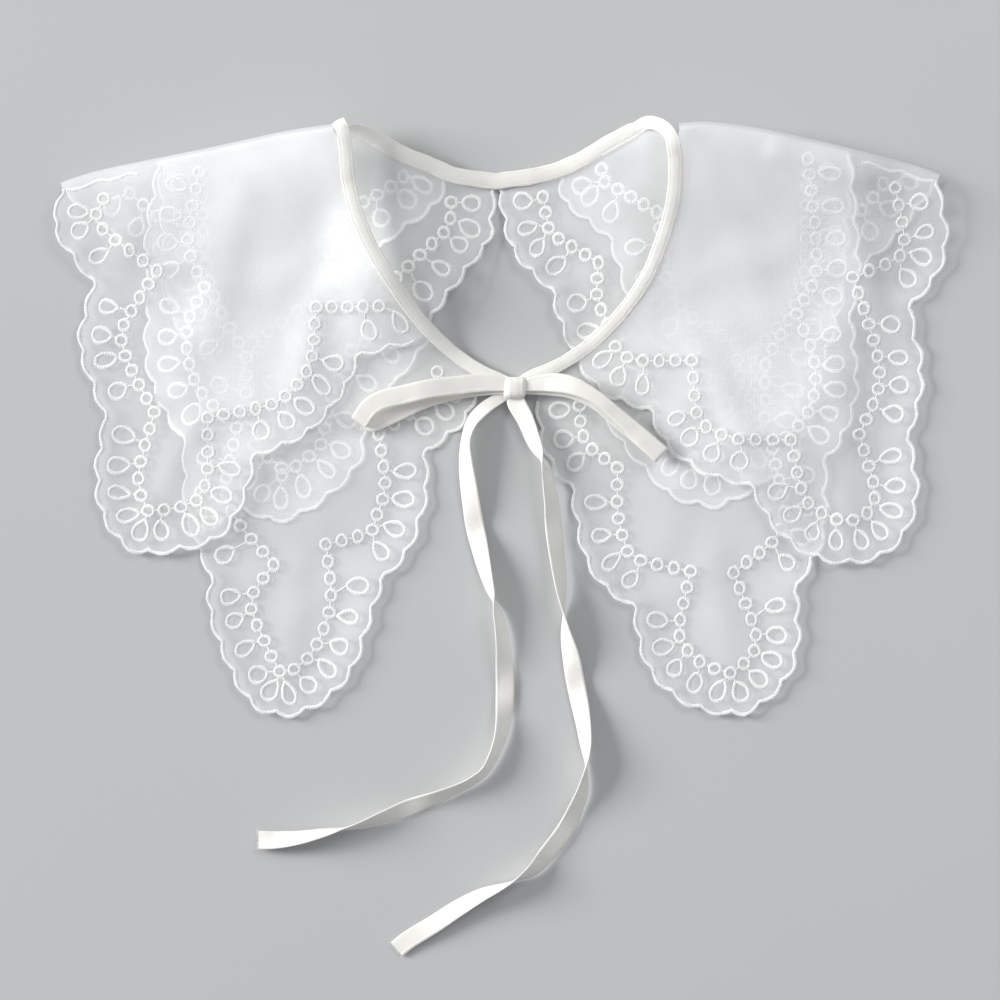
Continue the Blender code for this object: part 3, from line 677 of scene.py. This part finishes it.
for side in SIDES:
    route = smooth_through(TAILS[side], TAPE_STEP)
    turn = np.radians(route[:, 2])
    half = route[:, 3] / 2
    level = left_normals(route)
    across = np.column_stack((level * np.cos(turn)[:, None], np.sin(turn)))
    halves = across * half[:, None]
    height = (bed_under_tape(route, halves, LAYERS) + half * np.abs(np.sin(turn))
              + np.abs(np.cos(turn)) * WALL / 2)
    middles = np.column_stack((route[:, :2], height))
    forward = np.gradient(middles, axis=0)
    forward /= np.linalg.norm(forward, axis=1)[:, None]
    upward = np.cross(forward, across)
    upward /= np.linalg.norm(upward, axis=1)[:, None]
    points, faces, places = sweep(middles, halves, upward, tape_section(TAPE_THICKNESS))
    tail = add_piece("satin_tail_" + side, points, faces, places, SATIN, 70.0)
    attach(tail, "root")
    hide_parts("tie_tail_" + side)
    path = [world_point(*middle) for middle in middles]

    # A few threads have worked loose at the straight cut.
    threads = []
    for place in np.linspace(-0.95, 0.95, FRAYED_THREADS):
        start = middles[-1] + halves[-1] * (place + fray.uniform(-0.06, 0.06))
        lean = forward[-1] + across[-1] * fray.uniform(-0.5, 0.5)
        line = np.array([start - forward[-1] * 0.4, start + lean * fray.uniform(0.4, 1.5)])
        threads.append(sweep(line, np.tile(across[-1], (2, 1)), np.tile(upward[-1], (2, 1)), FRAY_SECTION))
    points, faces, places = join_parts(threads)
    points[:, 2] = np.maximum(points[:, 2], 0.1)
    frayed = add_piece("frayed_end_" + side, points, faces, places, SATIN)
    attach(frayed, "root")
    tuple(path[0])


# Organza tiers
# Each tier is one sheet of stiff sheer organza, folded over the shoulder: the front lies on top
# and the shorter back under it. The outer tier is folded round the under tier.

GRID = 3.4
GRID_MARGIN = 1.3
FINE_SCALLOP = 10
FINE_FOLD_STEP = 2.5
FINE_NECK_STEP = 2.5
BINDING_TUCK = 2.0
FOLD_SEGMENTS = 10
BEND_REACH = {"outer": 3.6, "under": 2.2}
HEM_LIFT = {"outer_back": 0.0, "under_back": 3.0, "under_front": 2.0, "outer_front": 2.0}
LIFT_REACH = 9.0
# The bow's loops and the tie ends hold the cloth down here.
HELD_DOWN = ((-60, -108), (-36, -100), (40, -97), (58, -110), (76, -126), (8, -98), (22, -130), (-14, -130))


def hem_lift(points, layer):
    """How much a hem that nothing covers stands up from what it lies on."""
    near = np.zeros(len(points))
    for side in SIDES:
        hem = scalloped_hem(layer, side, 2)
        away = np.linalg.norm(points[:, None, :] - hem[None, :, :], axis=2).min(axis=1)
        ends = np.linalg.norm(points[:, None, :] - hem[None, [0, -1], :], axis=2).min(axis=1)
        near = np.maximum(near, np.exp(-(away / LIFT_REACH) ** 2) * np.clip(ends / 22.0 - 0.2, 0.0, 1.0))
    for upper in LAYERS[LAYERS.index(layer) + 1:]:
        for side in SIDES:
            inside, away = place_in_outline(points, BED_OUTLINES[side, upper])
            near *= np.where(inside, 0.0, np.clip(away / 14.0, 0.0, 1.0))
    for pin in HELD_DOWN:
        near *= np.clip(np.linalg.norm(points - pin, axis=1) / 14.0 - 1.0, 0.0, 1.0)
    return HEM_LIFT[layer] * near


def sheet_height(points, layer):
    """The height of a layer's middle surface."""
    lower = LAYERS[:LAYERS.index(layer)]
    height = WALL / 2 + bed_height(points, lower) + shoulder_height(points, layer.split("_")[1])
    return height + hem_lift(points, layer)


def filled_outline(outline):
    """The outline filled with triangles on a common grid: its points and faces."""
    row_step = GRID * math.sqrt(3) / 2
    low = np.floor(outline.min(axis=0) / (GRID, row_step)).astype(int) - 1
    high = np.ceil(outline.max(axis=0) / (GRID, row_step)).astype(int) + 1
    grid = np.array([((column + 0.5 * (row % 2)) * GRID, row * row_step)
                     for row in range(low[1], high[1]) for column in range(low[0], high[0])])
    inside, away = place_in_outline(grid, outline)
    points = np.vstack((outline, grid[inside & (away > GRID_MARGIN)]))
    result = delaunay_2d_cdt([tuple(point) for point in points], [], [list(range(len(outline)))], 1, 1e-5)
    number = [source[0] for source in result[3]]
    return points, [[number[corner] for corner in face] for face in result[2]]


def organza():
    """Silk-like polyester organza: sheer, crisp, bluish white, with a faint dry sheen."""
    material, shader = new_material("polyester_organza", "#F8F9FB", Roughness=0.6, Sheen_Weight=0.15,
                                    Sheen_Roughness=0.4, Specular_IOR_Level=0.3)
    place = add_node(material, "ShaderNodeTexCoord")
    warp = add_node(material, "ShaderNodeTexWave", [("Vector", place, "Object")], Scale=WEAVE_PER_METRE,
                    bands_direction="X", Distortion=0.6, Detail=2.0)
    weft = add_node(material, "ShaderNodeTexWave", [("Vector", place, "Object")], Scale=WEAVE_PER_METRE,
                    bands_direction="Y", Distortion=0.6, Detail=2.0)
    weave = add_node(material, "ShaderNodeMath", [(0, warp, "Fac"), (1, weft, "Fac")], operation="ADD")
    cloud = add_node(material, "ShaderNodeTexNoise", [("Vector", place, "Object")], Scale=35.0, Detail=5.0)
    tint = add_node(material, "ShaderNodeMix", [("Factor", cloud, "Fac")], data_type="RGBA")
    tint.inputs["A"].default_value = linear("#F2F3F3")
    tint.inputs["B"].default_value = linear("#FAFAFB")
    relief = add_node(material, "ShaderNodeBump", [("Height", weave, "Value")], Strength=0.22, Distance=0.0002)
    material.node_tree.links.new(tint.outputs["Result"], shader.inputs["Base Color"])
    material.node_tree.links.new(relief.outputs["Normal"], shader.inputs["Normal"])

    # The threads pass on most of the light that falls on them, so the cloth hardly shades what it
    # touches. A few millimetres off, past a lifted hem, there is shadow. Under the broad shoulders
    # the white layers throw light to and fro, and further off it has spread and there is full shade.
    density = add_node(material, "ShaderNodeMapRange", [("Value", cloud, "Fac")])
    density.inputs["From Min"].default_value = 0.3
    density.inputs["From Max"].default_value = 0.7
    density.inputs["To Min"].default_value = ORGANZA_COVER - 0.03
    density.inputs["To Max"].default_value = ORGANZA_COVER + 0.03
    ray = add_node(material, "ShaderNodeLightPath")
    spread = add_node(material, "ShaderNodeFloatCurve", [("Value", ray, "Ray Length")])
    curve = spread.mapping.curves[0]
    spread.mapping.use_clip = False
    curve.points[0].location = SHADE_SHARES[0]
    curve.points[1].location = SHADE_SHARES[-1]
    for place, share in SHADE_SHARES[1:-1]:
        curve.points.new(place, share)
    for point in curve.points:
        point.handle_type = "VECTOR"
    spread.mapping.update()
    shade = add_node(material, "ShaderNodeMix", [("Factor", ray, "Is Shadow Ray"), ("B", spread, "Value")])
    shade.inputs["A"].default_value = 1.0
    cover = add_node(material, "ShaderNodeMath", [(0, density, "Result"), (1, shade, "Result")],
                     operation="MULTIPLY")
    material.node_tree.links.new(cover.outputs["Value"], shader.inputs["Alpha"])
    return material


# The part of what lies behind it that one layer hides, and the part of that which it also shades
# at each distance in metres
ORGANZA_COVER = 0.47
SHADE_SHARES = ((0.0, 0.08), (0.003, 0.1), (0.006, 0.8), (0.01, 0.7), (0.015, 0.12), (0.03, 0.15), (0.037, 2.0))
# The real threads lie 0.2 mm apart, which is too fine to show, so they are drawn 0.8 mm apart.
WEAVE_PER_METRE = 1.0 / (0.0008 * 3.3)
ORGANZA = organza()
OUTLINES = {}
for side in SIDES:
    for tier in ("outer", "under"):
        back = tier + "_back"
        front = tier + "_front"
        for layer in (back, front):
            OUTLINES[side, layer], fold_count = panel_outline(side, layer, FINE_SCALLOP, FINE_FOLD_STEP,
                                                              FINE_NECK_STEP, BINDING_TUCK)
        back_points, back_faces = filled_outline(OUTLINES[side, back])
        front_points, front_faces = filled_outline(OUTLINES[side, front])
        back_height = sheet_height(back_points, back)
        front_height = sheet_height(front_points, front)
        points = np.vstack((np.column_stack((back_points, back_height)),
                            np.column_stack((front_points, front_height)))).tolist()
        faces = back_faces + [[corner + len(back_points) for corner in face] for face in front_faces]

        # The sheet turns over in a soft round along the shoulder.
        crease = back_points[:fold_count]
        outward = left_normals(crease)
        outward *= np.sign(outward[:, 1].mean())
        rings = [list(range(fold_count))]
        for segment in range(1, FOLD_SEGMENTS):
            angle = math.pi * segment / FOLD_SEGMENTS
            ring = []
            for place in range(fold_count):
                low, high = back_height[place], front_height[place]
                ring.append(len(points))
                points.append([*(crease[place] + outward[place] * BEND_REACH[tier] * math.sin(angle)),
                               (low + high) / 2 - (high - low) / 2 * math.cos(angle)])
            rings.append(ring)
        rings.append([len(back_points) + place for place in range(fold_count)])
        for lower, upper in zip(rings, rings[1:]):
            for place in range(fold_count - 1):
                faces.append([lower[place], lower[place + 1], upper[place + 1], upper[place]])

        sheet = add_piece("organza_" + tier + "_" + side, points, faces, None, ORGANZA, 80.0)
        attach(sheet, "root")
        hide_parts(tier + "_tier_" + side)


# Embroidery
# Bright rayon thread, machine stitched through the organza: a padded satin stitch round every
# scallop, a row of small rings further in, and a drop in each scallop tied to the rings by bars.

Stitch = namedtuple("Stitch", "width height")
EDGE = Stitch(1.75, 0.2)
RING = Stitch(1.7, 0.2)
DROP = Stitch(1.7, 0.2)
BAR = Stitch(0.9, 0.14)
UNEVEN = 0.09
RING_WIDTH = 6.8
RING_PITCH = 8.0
RING_STEPS = 16
DROP_LENGTH = 9.6
DROP_WIDTH = 7.3
DROP_INSET = 10.8
DROP_STEPS = 18
DROP_SPREAD = 0.13
DROP_TURN = 0.22
FOLD_EDGE_STEPS = 20


def stitch_section(stitch):
    """The section of a padded satin stitch, higher on top than under the cloth."""
    half = stitch.width / 2
    return np.array(((half, 0.0), (half * 0.55, stitch.height), (-half * 0.55, stitch.height),
                     (-half, 0.0), (0.0, -stitch.height * 0.5)))


def stitched_line(line, stitch, layer, closed=False):
    """A satin stitch along a line, a little uneven in its width and place. The layer is not used."""
    if closed:
        around = np.vstack((line[-1:], line, line[:1]))
        level = left_normals(around)[1:-1]
    else:
        level = left_normals(line)
    line = line + level * chance.uniform(-UNEVEN, UNEVEN, (len(line), 1)) * stitch.width
    level = level * chance.uniform(1.0 - 2 * UNEVEN, 1.0 + 2 * UNEVEN, (len(line), 1))
    middles = np.column_stack((line, np.zeros(len(line))))
    across = np.column_stack((level, np.zeros(len(line))))
    upward = np.tile((0.0, 0.0, 1.0), (len(line), 1))
    return sweep(middles, across, upward, stitch_section(stitch), closed)


def ring_row(layer, side):
    """The row of rings: the hem's table moved in, smooth in each lobe and sharp at the notches."""
    rows = HEMS[layer]
    points = side_points(rows, side)
    inward = -HEM_SIGN[side] * left_normals(points)
    moved = points + inward * np.array([row.inset for row in rows])[:, None]
    corners = [0] + [index for index, row in enumerate(rows) if row.kind == "notch"] + [len(rows) - 1]
    return [smooth_through(moved[first:last + 1], 1.0) for first, last in zip(corners, corners[1:])]


def ring_places(layer, side, outline):
    """The rings' middles: one on each corner of the row and the others at an even pitch."""
    places = []
    for lobe in ring_row(layer, side):
        count = max(1, round(length_of(lobe) / RING_PITCH))
        places.extend(resample(lobe, count)[1 if places else 0:])
    places = np.array(places)
    inside, away = place_in_outline(places, outline)
    return places[inside & (away > RING_WIDTH / 2 + 0.6)]


def drop_outline(middle, towards, length, width, point):
    """The middle line of a drop, round at one end and more or less pointed towards a place."""
    ahead = (towards - middle) / np.linalg.norm(towards - middle)
    beside = np.array((-ahead[1], ahead[0]))
    turn = np.linspace(0.0, 2 * math.pi, DROP_STEPS, endpoint=False)
    reach = np.cos(turn) * length / 2
    spread = np.sin(turn) * np.sin(turn / 2) ** point * width / 2 * (1.0 + 0.17 * point)
    return middle + reach[:, None] * ahead + spread[:, None] * beside


def rayon_thread():
    """Rayon embroidery thread: clean bright white, stitches packed side by side, a silky sheen."""
    material, shader = new_material("rayon_satin_stitch", "#FBFCFC", Roughness=0.5, Sheen_Weight=0.3,
                                    Sheen_Roughness=0.3, Specular_IOR_Level=0.4)
    place = add_node(material, "ShaderNodeUVMap", uv_map="along_and_round")
    stitches = add_node(material, "ShaderNodeTexWave", [("Vector", place, "UV")], Scale=STITCHES_PER_METRE,
                        bands_direction="X", Distortion=0.4)
    where = add_node(material, "ShaderNodeTexCoord")
    fuzz = add_node(material, "ShaderNodeTexNoise", [("Vector", where, "Object")], Scale=1600.0, Detail=3.0)
    tint = add_node(material, "ShaderNodeMix", [("Factor", fuzz, "Fac")], data_type="RGBA")
    tint.inputs["A"].default_value = linear("#EDEFEF")
    tint.inputs["B"].default_value = linear("#FFFFFF")
    both = add_node(material, "ShaderNodeMath", [(0, stitches, "Fac"), (1, fuzz, "Fac")], operation="ADD")
    relief = add_node(material, "ShaderNodeBump", [("Height", both, "Value")], Strength=0.6, Distance=0.0003)
    material.node_tree.links.new(tint.outputs["Result"], shader.inputs["Base Color"])
    material.node_tree.links.new(relief.outputs["Normal"], shader.inputs["Normal"])
    return material


# Stitches lie 0.35 mm apart, and are drawn 0.7 mm apart so that they show. The places along a
# line are in millimetres.
STITCHES_PER_METRE = 1.0 / (0.7 * 3.3)
RAYON = rayon_thread()
chance = np.random.default_rng(7)

for side in SIDES:
    for tier in ("outer", "under"):
        for face in ("back", "front"):
            layer = tier + "_" + face
            outline = OUTLINES[side, layer]
            parts = []
            hem = scalloped_hem(layer, side, FINE_SCALLOP)
            hem = hem - HEM_SIGN[side] * left_normals(hem) * EDGE.width * 0.42
            hem = hem[2:] if face == "front" else hem
            parts.append(stitched_line(hem, EDGE, layer))
            if layer == "outer_front":
                crest = smooth_through(side_points(SHOULDER_FOLD, side), 2.0)[::-1][1:FOLD_EDGE_STEPS]
                dip = 1.0 + 1.6 * np.abs(np.sin(np.arange(len(crest)) * 2.0 / SCALLOP_CHORD * math.pi))
                crest = crest - np.column_stack((np.zeros(len(crest)), dip))
                parts.append(stitched_line(crest, EDGE, layer))

            rings = ring_places(layer, side, outline)
            circle = np.linspace(0.0, 2 * math.pi, RING_STEPS, endpoint=False)
            radius = (RING_WIDTH - RING.width) / 2
            for middle in rings:
                stretch = 1.0 + chance.uniform(-0.11, 0.09)
                line = middle + radius * np.column_stack((np.cos(circle) * stretch, np.sin(circle) / stretch))
                parts.append(stitched_line(line, RING, layer, closed=True))
            for one, other in zip(rings, rings[1:]):
                gap = np.linalg.norm(other - one)
                if RING_WIDTH < gap < 1.6 * RING_PITCH:
                    ahead = (other - one) / gap
                    ends = np.array((one + ahead * (radius + 0.4), other - ahead * (radius + 0.4)))
                    parts.append(stitched_line(ends, BAR, layer))

            for lobe, scallops in hem_lobes(layer, side):
                lobe = resample(lobe, scallops * 2)
                inward = -HEM_SIGN[side] * left_normals(lobe)
                for place in range(1, len(lobe), 2):
                    middle = lobe[place] + inward[place] * DROP_INSET
                    inside, away = place_in_outline(middle[None], outline)
                    if not inside[0] or away[0] < DROP_WIDTH / 2 - 0.2:
                        continue
                    nearest = rings[np.argmin(np.linalg.norm(rings - middle, axis=1))]
                    aim = (nearest + middle + inward[place] * 12.0) / 2 - middle
                    swing = chance.uniform(-DROP_TURN, DROP_TURN)
                    aim = middle + np.array((aim[0] * math.cos(swing) - aim[1] * math.sin(swing),
                                             aim[0] * math.sin(swing) + aim[1] * math.cos(swing)))
                    size = 1.0 + chance.uniform(-DROP_SPREAD, DROP_SPREAD)
                    slim = 1.0 + chance.uniform(-DROP_SPREAD, DROP_SPREAD)
                    line = drop_outline(middle, aim, DROP_LENGTH * size, DROP_WIDTH * slim,
                                        chance.uniform(0.15, 0.75))
                    parts.append(stitched_line(line, DROP, layer, closed=True))
                    tip = line[0]
                    gap = np.linalg.norm(nearest - tip)
                    if gap > radius + 0.8:
                        ahead = (nearest - tip) / gap
                        ends = np.array((tip, nearest - ahead * (radius + 0.4)))
                        parts.append(stitched_line(ends, BAR, layer))
            points, faces, places = join_parts(parts)
            points[:, 2] += sheet_height(points[:, :2], layer)
            piece = add_piece("embroidery_" + layer + "_" + side, points, faces, places, RAYON, 75.0)
            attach(piece, "root")


# Neck binding
# A bias-cut satin tape, folded over the raw neck edges of all the tiers and sewn down by machine
# near both edges. It is creased flat at the left shoulder and runs round softly at the right one.

BINDING_THICKNESS = 2.4
BINDING_STEP = 2.0
BINDING_STITCH = 2.4
BINDING_STITCH_INSET = 0.74
BINDING_ROLL = 0.035
CREASE_PLACE = (-73.5, 27.0)
CREASE_ANGLE = math.radians(30.0)
CREASE_REACH = 4.0
KNOT_ENTRY = {"left": (5.2, -94.0), "right": (12.2, -93.6)}


def flat_halves(line, width):
    """Level half-width vectors, to the left of a line seen from above."""
    return np.column_stack((left_normals(line) * np.reshape(width, (-1, 1)) / 2, np.zeros(len(line))))


def binding_section():
    """The folded tape's section, full in the middle, with a dip along each row of stitches."""
    across = (-1.0, -0.97, -0.88, -0.74, -0.58, -0.3, 0.0, 0.3, 0.58, 0.74, 0.88, 0.97, 1.0)
    rise = (0.0, 0.55, 0.78, 0.7, 0.92, 1.0, 1.0, 1.0, 0.92, 0.7, 0.78, 0.55, 0.0)
    half = BINDING_THICKNESS / 2
    upper = [(place, height * half) for place, height in zip(across, rise)]
    lower = [(place, -height) for place, height in upper[-2:0:-1]]
    return np.array(upper + lower)


def raised_binding(line, halves):
    """The height of the binding's middle where it lies on the back layers."""
    return bed_under_tape(line, halves, ("outer_back", "under_back")) + BINDING_THICKNESS / 2


def table_side(line):
    """The height of the binding's middle along the back neck."""
    return BINDING_THICKNESS / 2 + TAPE_GAP + swell_height(line) + shoulder_height(line, "back")


left_front = smooth_through(np.vstack((KNOT_ENTRY["left"], side_points(NECK_FRONT, "left"))), BINDING_STEP)
right_front = smooth_through(np.vstack((KNOT_ENTRY["right"], side_points(NECK_FRONT, "right"))),
                             BINDING_STEP)[::-1]
left_back = smooth_through(side_points(NECK_BACK, "left"), BINDING_STEP)
right_back = smooth_through(side_points(NECK_BACK, "right"), BINDING_STEP)[::-1]
back = np.vstack((left_back, right_back[1:]))

crease = np.array((math.cos(CREASE_ANGLE), math.sin(CREASE_ANGLE), 0.0))
front = np.vstack((left_front[:-1], (left_front[-1] + CREASE_PLACE) / 2, CREASE_PLACE))
front_halves = -flat_halves(front, BINDING_FRONT_WIDTH)
front_halves[-1] = crease * BINDING_FRONT_WIDTH / 2
front_high = raised_binding(front, front_halves)
middles = list(np.column_stack((front, front_high)))
halves = list(front_halves)
high = front_high[-1]
low = table_side(np.array([CREASE_PLACE]))[0]
outward = np.array((-crease[1], crease[0]))
for segment in range(1, FOLD_SEGMENTS + 1):
    angle = math.pi * segment / FOLD_SEGMENTS
    place = np.array(CREASE_PLACE) + outward * CREASE_REACH * math.sin(angle)
    middles.append(np.array((*place, (low + high) / 2 + (high - low) / 2 * math.cos(angle))))
    halves.append(crease * BINDING_FRONT_WIDTH / 2)
widths = np.interp(np.arange(len(back)), (0, 4), (BINDING_FRONT_WIDTH, BINDING_BACK_WIDTH))
back_high = table_side(back)
middles.extend(np.column_stack((back, back_high)))
halves.extend(flat_halves(back, widths))
loop = smooth_through((back[-1], *LOOP_TOP, right_front[0]), BINDING_STEP)[1:-1]
part = np.linspace(0.0, 1.0, len(loop) + 2)[1:-1]
right_halves = flat_halves(right_front, BINDING_FRONT_WIDTH)
right_high = raised_binding(right_front, right_halves)
climb = back_high[-1] + (right_high[0] - back_high[-1]) * part * part * (3.0 - 2.0 * part)
middles.extend(np.column_stack((loop, climb)))
halves.extend(flat_halves(loop, BINDING_FRONT_WIDTH))
middles.extend(np.column_stack((right_front, right_high)))
halves.extend(right_halves)
middles = np.array(middles)
halves = np.array(halves)
halves *= 1.0 + BINDING_ROLL * np.sin(np.arange(len(halves)) * 0.9)[:, None] * np.sin(
    np.arange(len(halves)) * 0.31)[:, None]
forward = np.gradient(middles, axis=0)
forward /= np.linalg.norm(forward, axis=1)[:, None]
upward = np.cross(forward, halves)
upward /= np.linalg.norm(upward, axis=1)[:, None]
points, faces, places = sweep(middles, halves, upward, binding_section())
binding = add_piece("satin_binding", points, faces, places, SATIN, 50.0)
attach(binding, "root")
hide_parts("neck_binding")


def stitch_row(middles, halves, upward, inset, thickness, pitch, gap=0.35):
    """A row of machine stitches along a tape, each a short low bar of thread."""
    spots = np.column_stack((middles + inset * halves + upward * thickness, upward))
    steps = np.linalg.norm(np.diff(spots[:, :3], axis=0), axis=1)
    along = np.concatenate(([0.0], np.cumsum(steps)))
    parts = []
    for start in np.arange(pitch, along[-1] - pitch, pitch):
        ends = [[np.interp(start + shift, along, spots[:, axis]) for axis in range(6)]
                for shift in (0.0, pitch * (1.0 - gap))]
        line = np.array(ends)[:, :3]
        ahead = (line[1] - line[0]) / np.linalg.norm(line[1] - line[0])
        up = np.array(ends)[:, 3:]
        parts.append(sweep(line, np.cross(up, ahead), up, THREAD_SECTION))
    return parts


THREAD_SECTION = np.array(((0.2, 0.0), (0.0, 0.16), (-0.2, 0.0), (0.0, -0.16)))
turned_up = upward * np.sign(upward[:, 2:3] + 1e-9)
rows = stitch_row(middles, halves, turned_up, BINDING_STITCH_INSET, BINDING_THICKNESS * 0.37, BINDING_STITCH)
rows += stitch_row(middles, halves, turned_up, -BINDING_STITCH_INSET, BINDING_THICKNESS * 0.37, BINDING_STITCH)
points, faces, places = join_parts(rows)
binding_seam = add_piece("binding_stitches", points, faces, places, RAYON)
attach(binding_seam, "root")


# Bow
# The two ends of the binding tape are tied in a flat bow: a loop to each side, which goes out on
# top and comes back below, round a small tight knot.

LoopRow = namedtuple("LoopRow", "x y width lift")
LOOP_TOPS = {
    "left": (
        LoopRow(6.2, -95.3, 5.8, 1.4),
        LoopRow(2.2, -94.6, 6.4, 1.7),
        LoopRow(-8, -93.8, 8.6, 2.6),
        LoopRow(-20, -95.0, 9.0, 4.2),
        LoopRow(-32, -96.5, 9.0, 5.0),
        LoopRow(-44.6, -99.4, 9.2, 4.6),
        LoopRow(-54, -101.6, 9.2, 4.2),
        LoopRow(-60.8, -105.4, 9.2, 3.8),
        LoopRow(-65, -111.0, 8.8, 3.4),
    ),
    "right": (
        LoopRow(11.2, -95.3, 5.8, 1.4),
        LoopRow(15.0, -94.6, 6.4, 1.7),
        LoopRow(27, -93.6, 9.0, 3.0),
        LoopRow(37.4, -95.6, 8.4, 4.2),
        LoopRow(48.5, -101.4, 6.4, 4.4),
        LoopRow(58, -109.4, 6.8, 3.6),
        LoopRow(68.6, -119, 8.2, 2.8),
        LoopRow(78, -127.6, 9.0, 2.2),
    ),
}
LOOP_UNDERS = {
    "left": (
        LoopRow(-60.5, -113.0, 8.4, 0),
        LoopRow(-53.5, -110.6, 8.4, 0),
        LoopRow(-45, -106.6, 8.2, 0),
        LoopRow(-34.4, -101.8, 8.0, 0),
        LoopRow(-20, -98.0, 7.4, 0),
        LoopRow(-8, -96.6, 6.6, 0),
        LoopRow(2.2, -96.4, 5.6, 0),
        LoopRow(6.2, -96.4, 5.2, 0),
    ),
    "right": (
        LoopRow(68.6, -119.8, 8.2, 0),
        LoopRow(57.2, -111.2, 7.0, 0),
        LoopRow(47.6, -103.4, 6.6, 0),
        LoopRow(36.2, -97.8, 7.4, 0),
        LoopRow(25.6, -96.4, 6.8, 0),
        LoopRow(15.0, -96.4, 5.6, 0),
        LoopRow(11.2, -96.4, 5.2, 0),
    ),
}
LOOP_LOW_AT_KNOT = 4.0
LOOP_KNOT_REACH = 26.0
LOOP_CLEARANCE = 0.5
LOOP_TIP_SEGMENTS = 8
KNOT_SIZE = (11.2, 10.4, 7.5)
KNOT_MIDDLE = (8.6, -96.0)
KNOT_ROUND = 2.6
KNOT_PUCKER = 0.3
KNOT_LEAN = 0.06


def low_height(line, halves):
    """The height of a loop's under run over what it rests on, lifted near the knot."""
    bed = bed_under_tape(line, halves, LAYERS) + WALL / 2 + LOOP_CLEARANCE
    away = np.linalg.norm(line[:, :2] - KNOT_MIDDLE, axis=1)
    near = np.clip(1.0 - away / LOOP_KNOT_REACH, 0.0, 1.0) ** 0.5
    return bed * (1.0 - near) + np.maximum(bed, LOOP_LOW_AT_KNOT) * near


loops = {}
for side in SIDES:
    top = smooth_through(LOOP_TOPS[side], TAPE_STEP)
    under = smooth_through((LOOP_TOPS[side][-1]._replace(lift=0), *LOOP_UNDERS[side]), TAPE_STEP)[1:]
    top_halves = flat_halves(top, top[:, 2])
    under_halves = -flat_halves(under, under[:, 2])
    top_low = low_height(top, top_halves)
    middles = list(np.column_stack((top[:, :2], top_low + top[:, 3])))
    halves = list(top_halves)
    outward = (top[-1, :2] - top[-2, :2]) / np.linalg.norm(top[-1, :2] - top[-2, :2])
    radius = top[-1, 3] / 2
    for segment in range(1, LOOP_TIP_SEGMENTS + 1):
        angle = math.pi * segment / LOOP_TIP_SEGMENTS
        place = top[-1, :2] + outward * radius * math.sin(angle)
        middles.append(np.array((*place, top_low[-1] + radius + radius * math.cos(angle))))
        halves.append(top_halves[-1])
    middles.extend(np.column_stack((under[:, :2], low_height(under, under_halves))))
    halves.extend(under_halves)
    middles = np.array(middles)
    halves = np.array(halves)
    forward = np.gradient(middles, axis=0)
    forward /= np.linalg.norm(forward, axis=1)[:, None]
    upward = np.cross(forward, halves)
    upward /= np.linalg.norm(upward, axis=1)[:, None]
    points, faces, places = sweep(middles, halves, upward, tape_section(TAPE_THICKNESS))
    loop_piece = add_piece("satin_loop_" + side, points, faces, places, SATIN, 60.0)
    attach(loop_piece, "root")
    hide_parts("bow_loop_" + side)

# The knot is the tape's last turn, about 11 mm wide, pulled tight so that it puckers.
bpy.ops.object.select_all(action="DESELECT")
bpy.ops.mesh.primitive_cube_add(size=1.0, location=world_point(*KNOT_MIDDLE, KNOT_SIZE[2] / 2),
                                scale=[side_length * MILLIMETRE for side_length in KNOT_SIZE])
knot = bpy.context.object
knot.name = "satin_knot"
bpy.ops.object.transform_apply(location=True, rotation=True, scale=True)
bpy.ops.object.mode_set(mode="EDIT")
bpy.ops.mesh.select_all(action="SELECT")
bpy.ops.mesh.bevel(offset=KNOT_ROUND * MILLIMETRE, segments=4, profile=0.5)
bpy.ops.mesh.select_all(action="SELECT")
bpy.ops.mesh.subdivide(number_cuts=4, smoothness=0.0)
bpy.ops.object.mode_set(mode="OBJECT")
knot_middle = np.array(world_point(*KNOT_MIDDLE, KNOT_SIZE[2] / 2))
for corner in knot.data.vertices:
    across, along, rise = (np.array(corner.co) - knot_middle) / MILLIMETRE
    top_share = max(0.0, rise / KNOT_SIZE[2] * 2)
    pucker = KNOT_PUCKER * math.sin(across * 1.9 + 0.16 * along) * (0.35 + abs(along) / KNOT_SIZE[1])
    waist = 1.0 - 0.07 * (1.0 - (2 * along / KNOT_SIZE[1]) ** 2)
    rounded = -0.5 * (2 * across / KNOT_SIZE[0]) ** 2 - 0.9 * (2 * along / KNOT_SIZE[1]) ** 2
    place = np.array((across * waist + along * KNOT_LEAN, along, rise + top_share * (pucker + rounded + 0.4)))
    corner.co = knot_middle + place * MILLIMETRE
knot.data.materials.append(SATIN)
knot.data.shade_smooth()
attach(knot, "root")
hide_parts("tie_knot")
